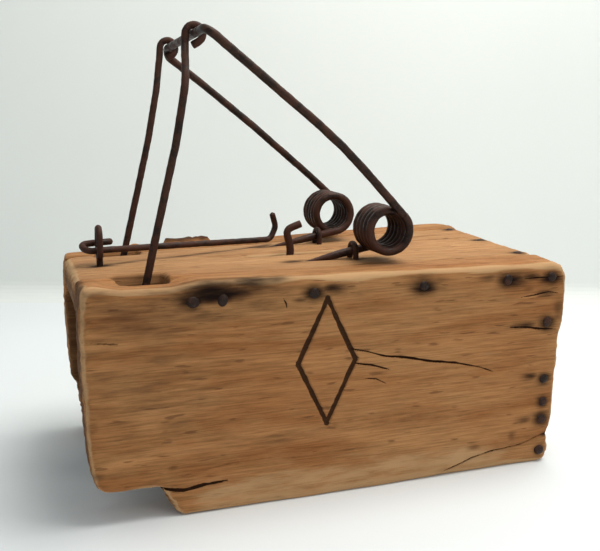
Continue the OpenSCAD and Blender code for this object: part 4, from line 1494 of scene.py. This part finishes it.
class TRAP_OT_choker(Maker, bpy.types.Operator):
    """Make the choker loop that hangs from the crossbar"""
    bl_idname = "trap.choker"
    bl_label = "Choker"
    settings, builders = "trap_wires", [build_choker]


class TRAP_OT_latch(Maker, bpy.types.Operator):
    """Make the turning eye pin and the latch arm"""
    bl_idname = "trap.latch"
    bl_label = "Latch"
    settings, builders = "trap_wires", [build_latch]


class TRAP_OT_trigger(Maker, bpy.types.Operator):
    """Make the trigger wire and the axle it turns on"""
    bl_idname = "trap.trigger"
    bl_label = "Trigger"
    settings, builders = "trap_wires", [build_trigger]


class TRAP_PT_panel(bpy.types.Panel):
    """Everything that makes the mouse trap"""
    bl_idname = "TRAP_PT_panel"
    bl_label = "Mouse Trap"
    bl_space_type = "VIEW_3D"
    bl_region_type = "UI"
    bl_category = "Mouse Trap"

    def draw(self, context):
        layout = self.layout
        for group in (context.scene.trap_boards, context.scene.trap_wires, context.scene.trap_stage):
            box = layout.box()
            box.label(text=group.bl_rna.description)
            for key in group.bl_rna.properties.keys():
                if key not in {"rna_type", "name"}:
                    box.prop(group, key)
        for operator in OPERATORS:
            layout.operator(operator.bl_idname)


OPERATORS = [TRAP_OT_stage, TRAP_OT_side_boards, TRAP_OT_top_board, TRAP_OT_end_board,
             TRAP_OT_nails, TRAP_OT_staples, TRAP_OT_coils, TRAP_OT_bail, TRAP_OT_choker,
             TRAP_OT_latch, TRAP_OT_trigger]
CLASSES = [BoardLooks, WireLooks, StageLooks, *OPERATORS, TRAP_PT_panel]


def register():
    for cls in CLASSES:
        bpy.utils.register_class(cls)
    bpy.types.Scene.trap_boards = bpy.props.PointerProperty(type=BoardLooks)
    bpy.types.Scene.trap_wires = bpy.props.PointerProperty(type=WireLooks)
    bpy.types.Scene.trap_stage = bpy.props.PointerProperty(type=StageLooks)


def unregister():
    del bpy.types.Scene.trap_stage
    del bpy.types.Scene.trap_wires
    del bpy.types.Scene.trap_boards
    for cls in reversed(CLASSES):
        bpy.utils.unregister_class(cls)


def main():
    """Builds the whole trap."""
    register()
    bpy.ops.trap.stage()
    bpy.ops.trap.side_boards()
    bpy.ops.trap.top_board()
    bpy.ops.trap.end_board()
    bpy.ops.trap.nails()
    bpy.ops.trap.staples()
    bpy.ops.trap.coils()
    bpy.ops.trap.bail()
    bpy.ops.trap.choker()
    bpy.ops.trap.latch()
    bpy.ops.trap.trigger()


if __name__ == "__main__":
    main()
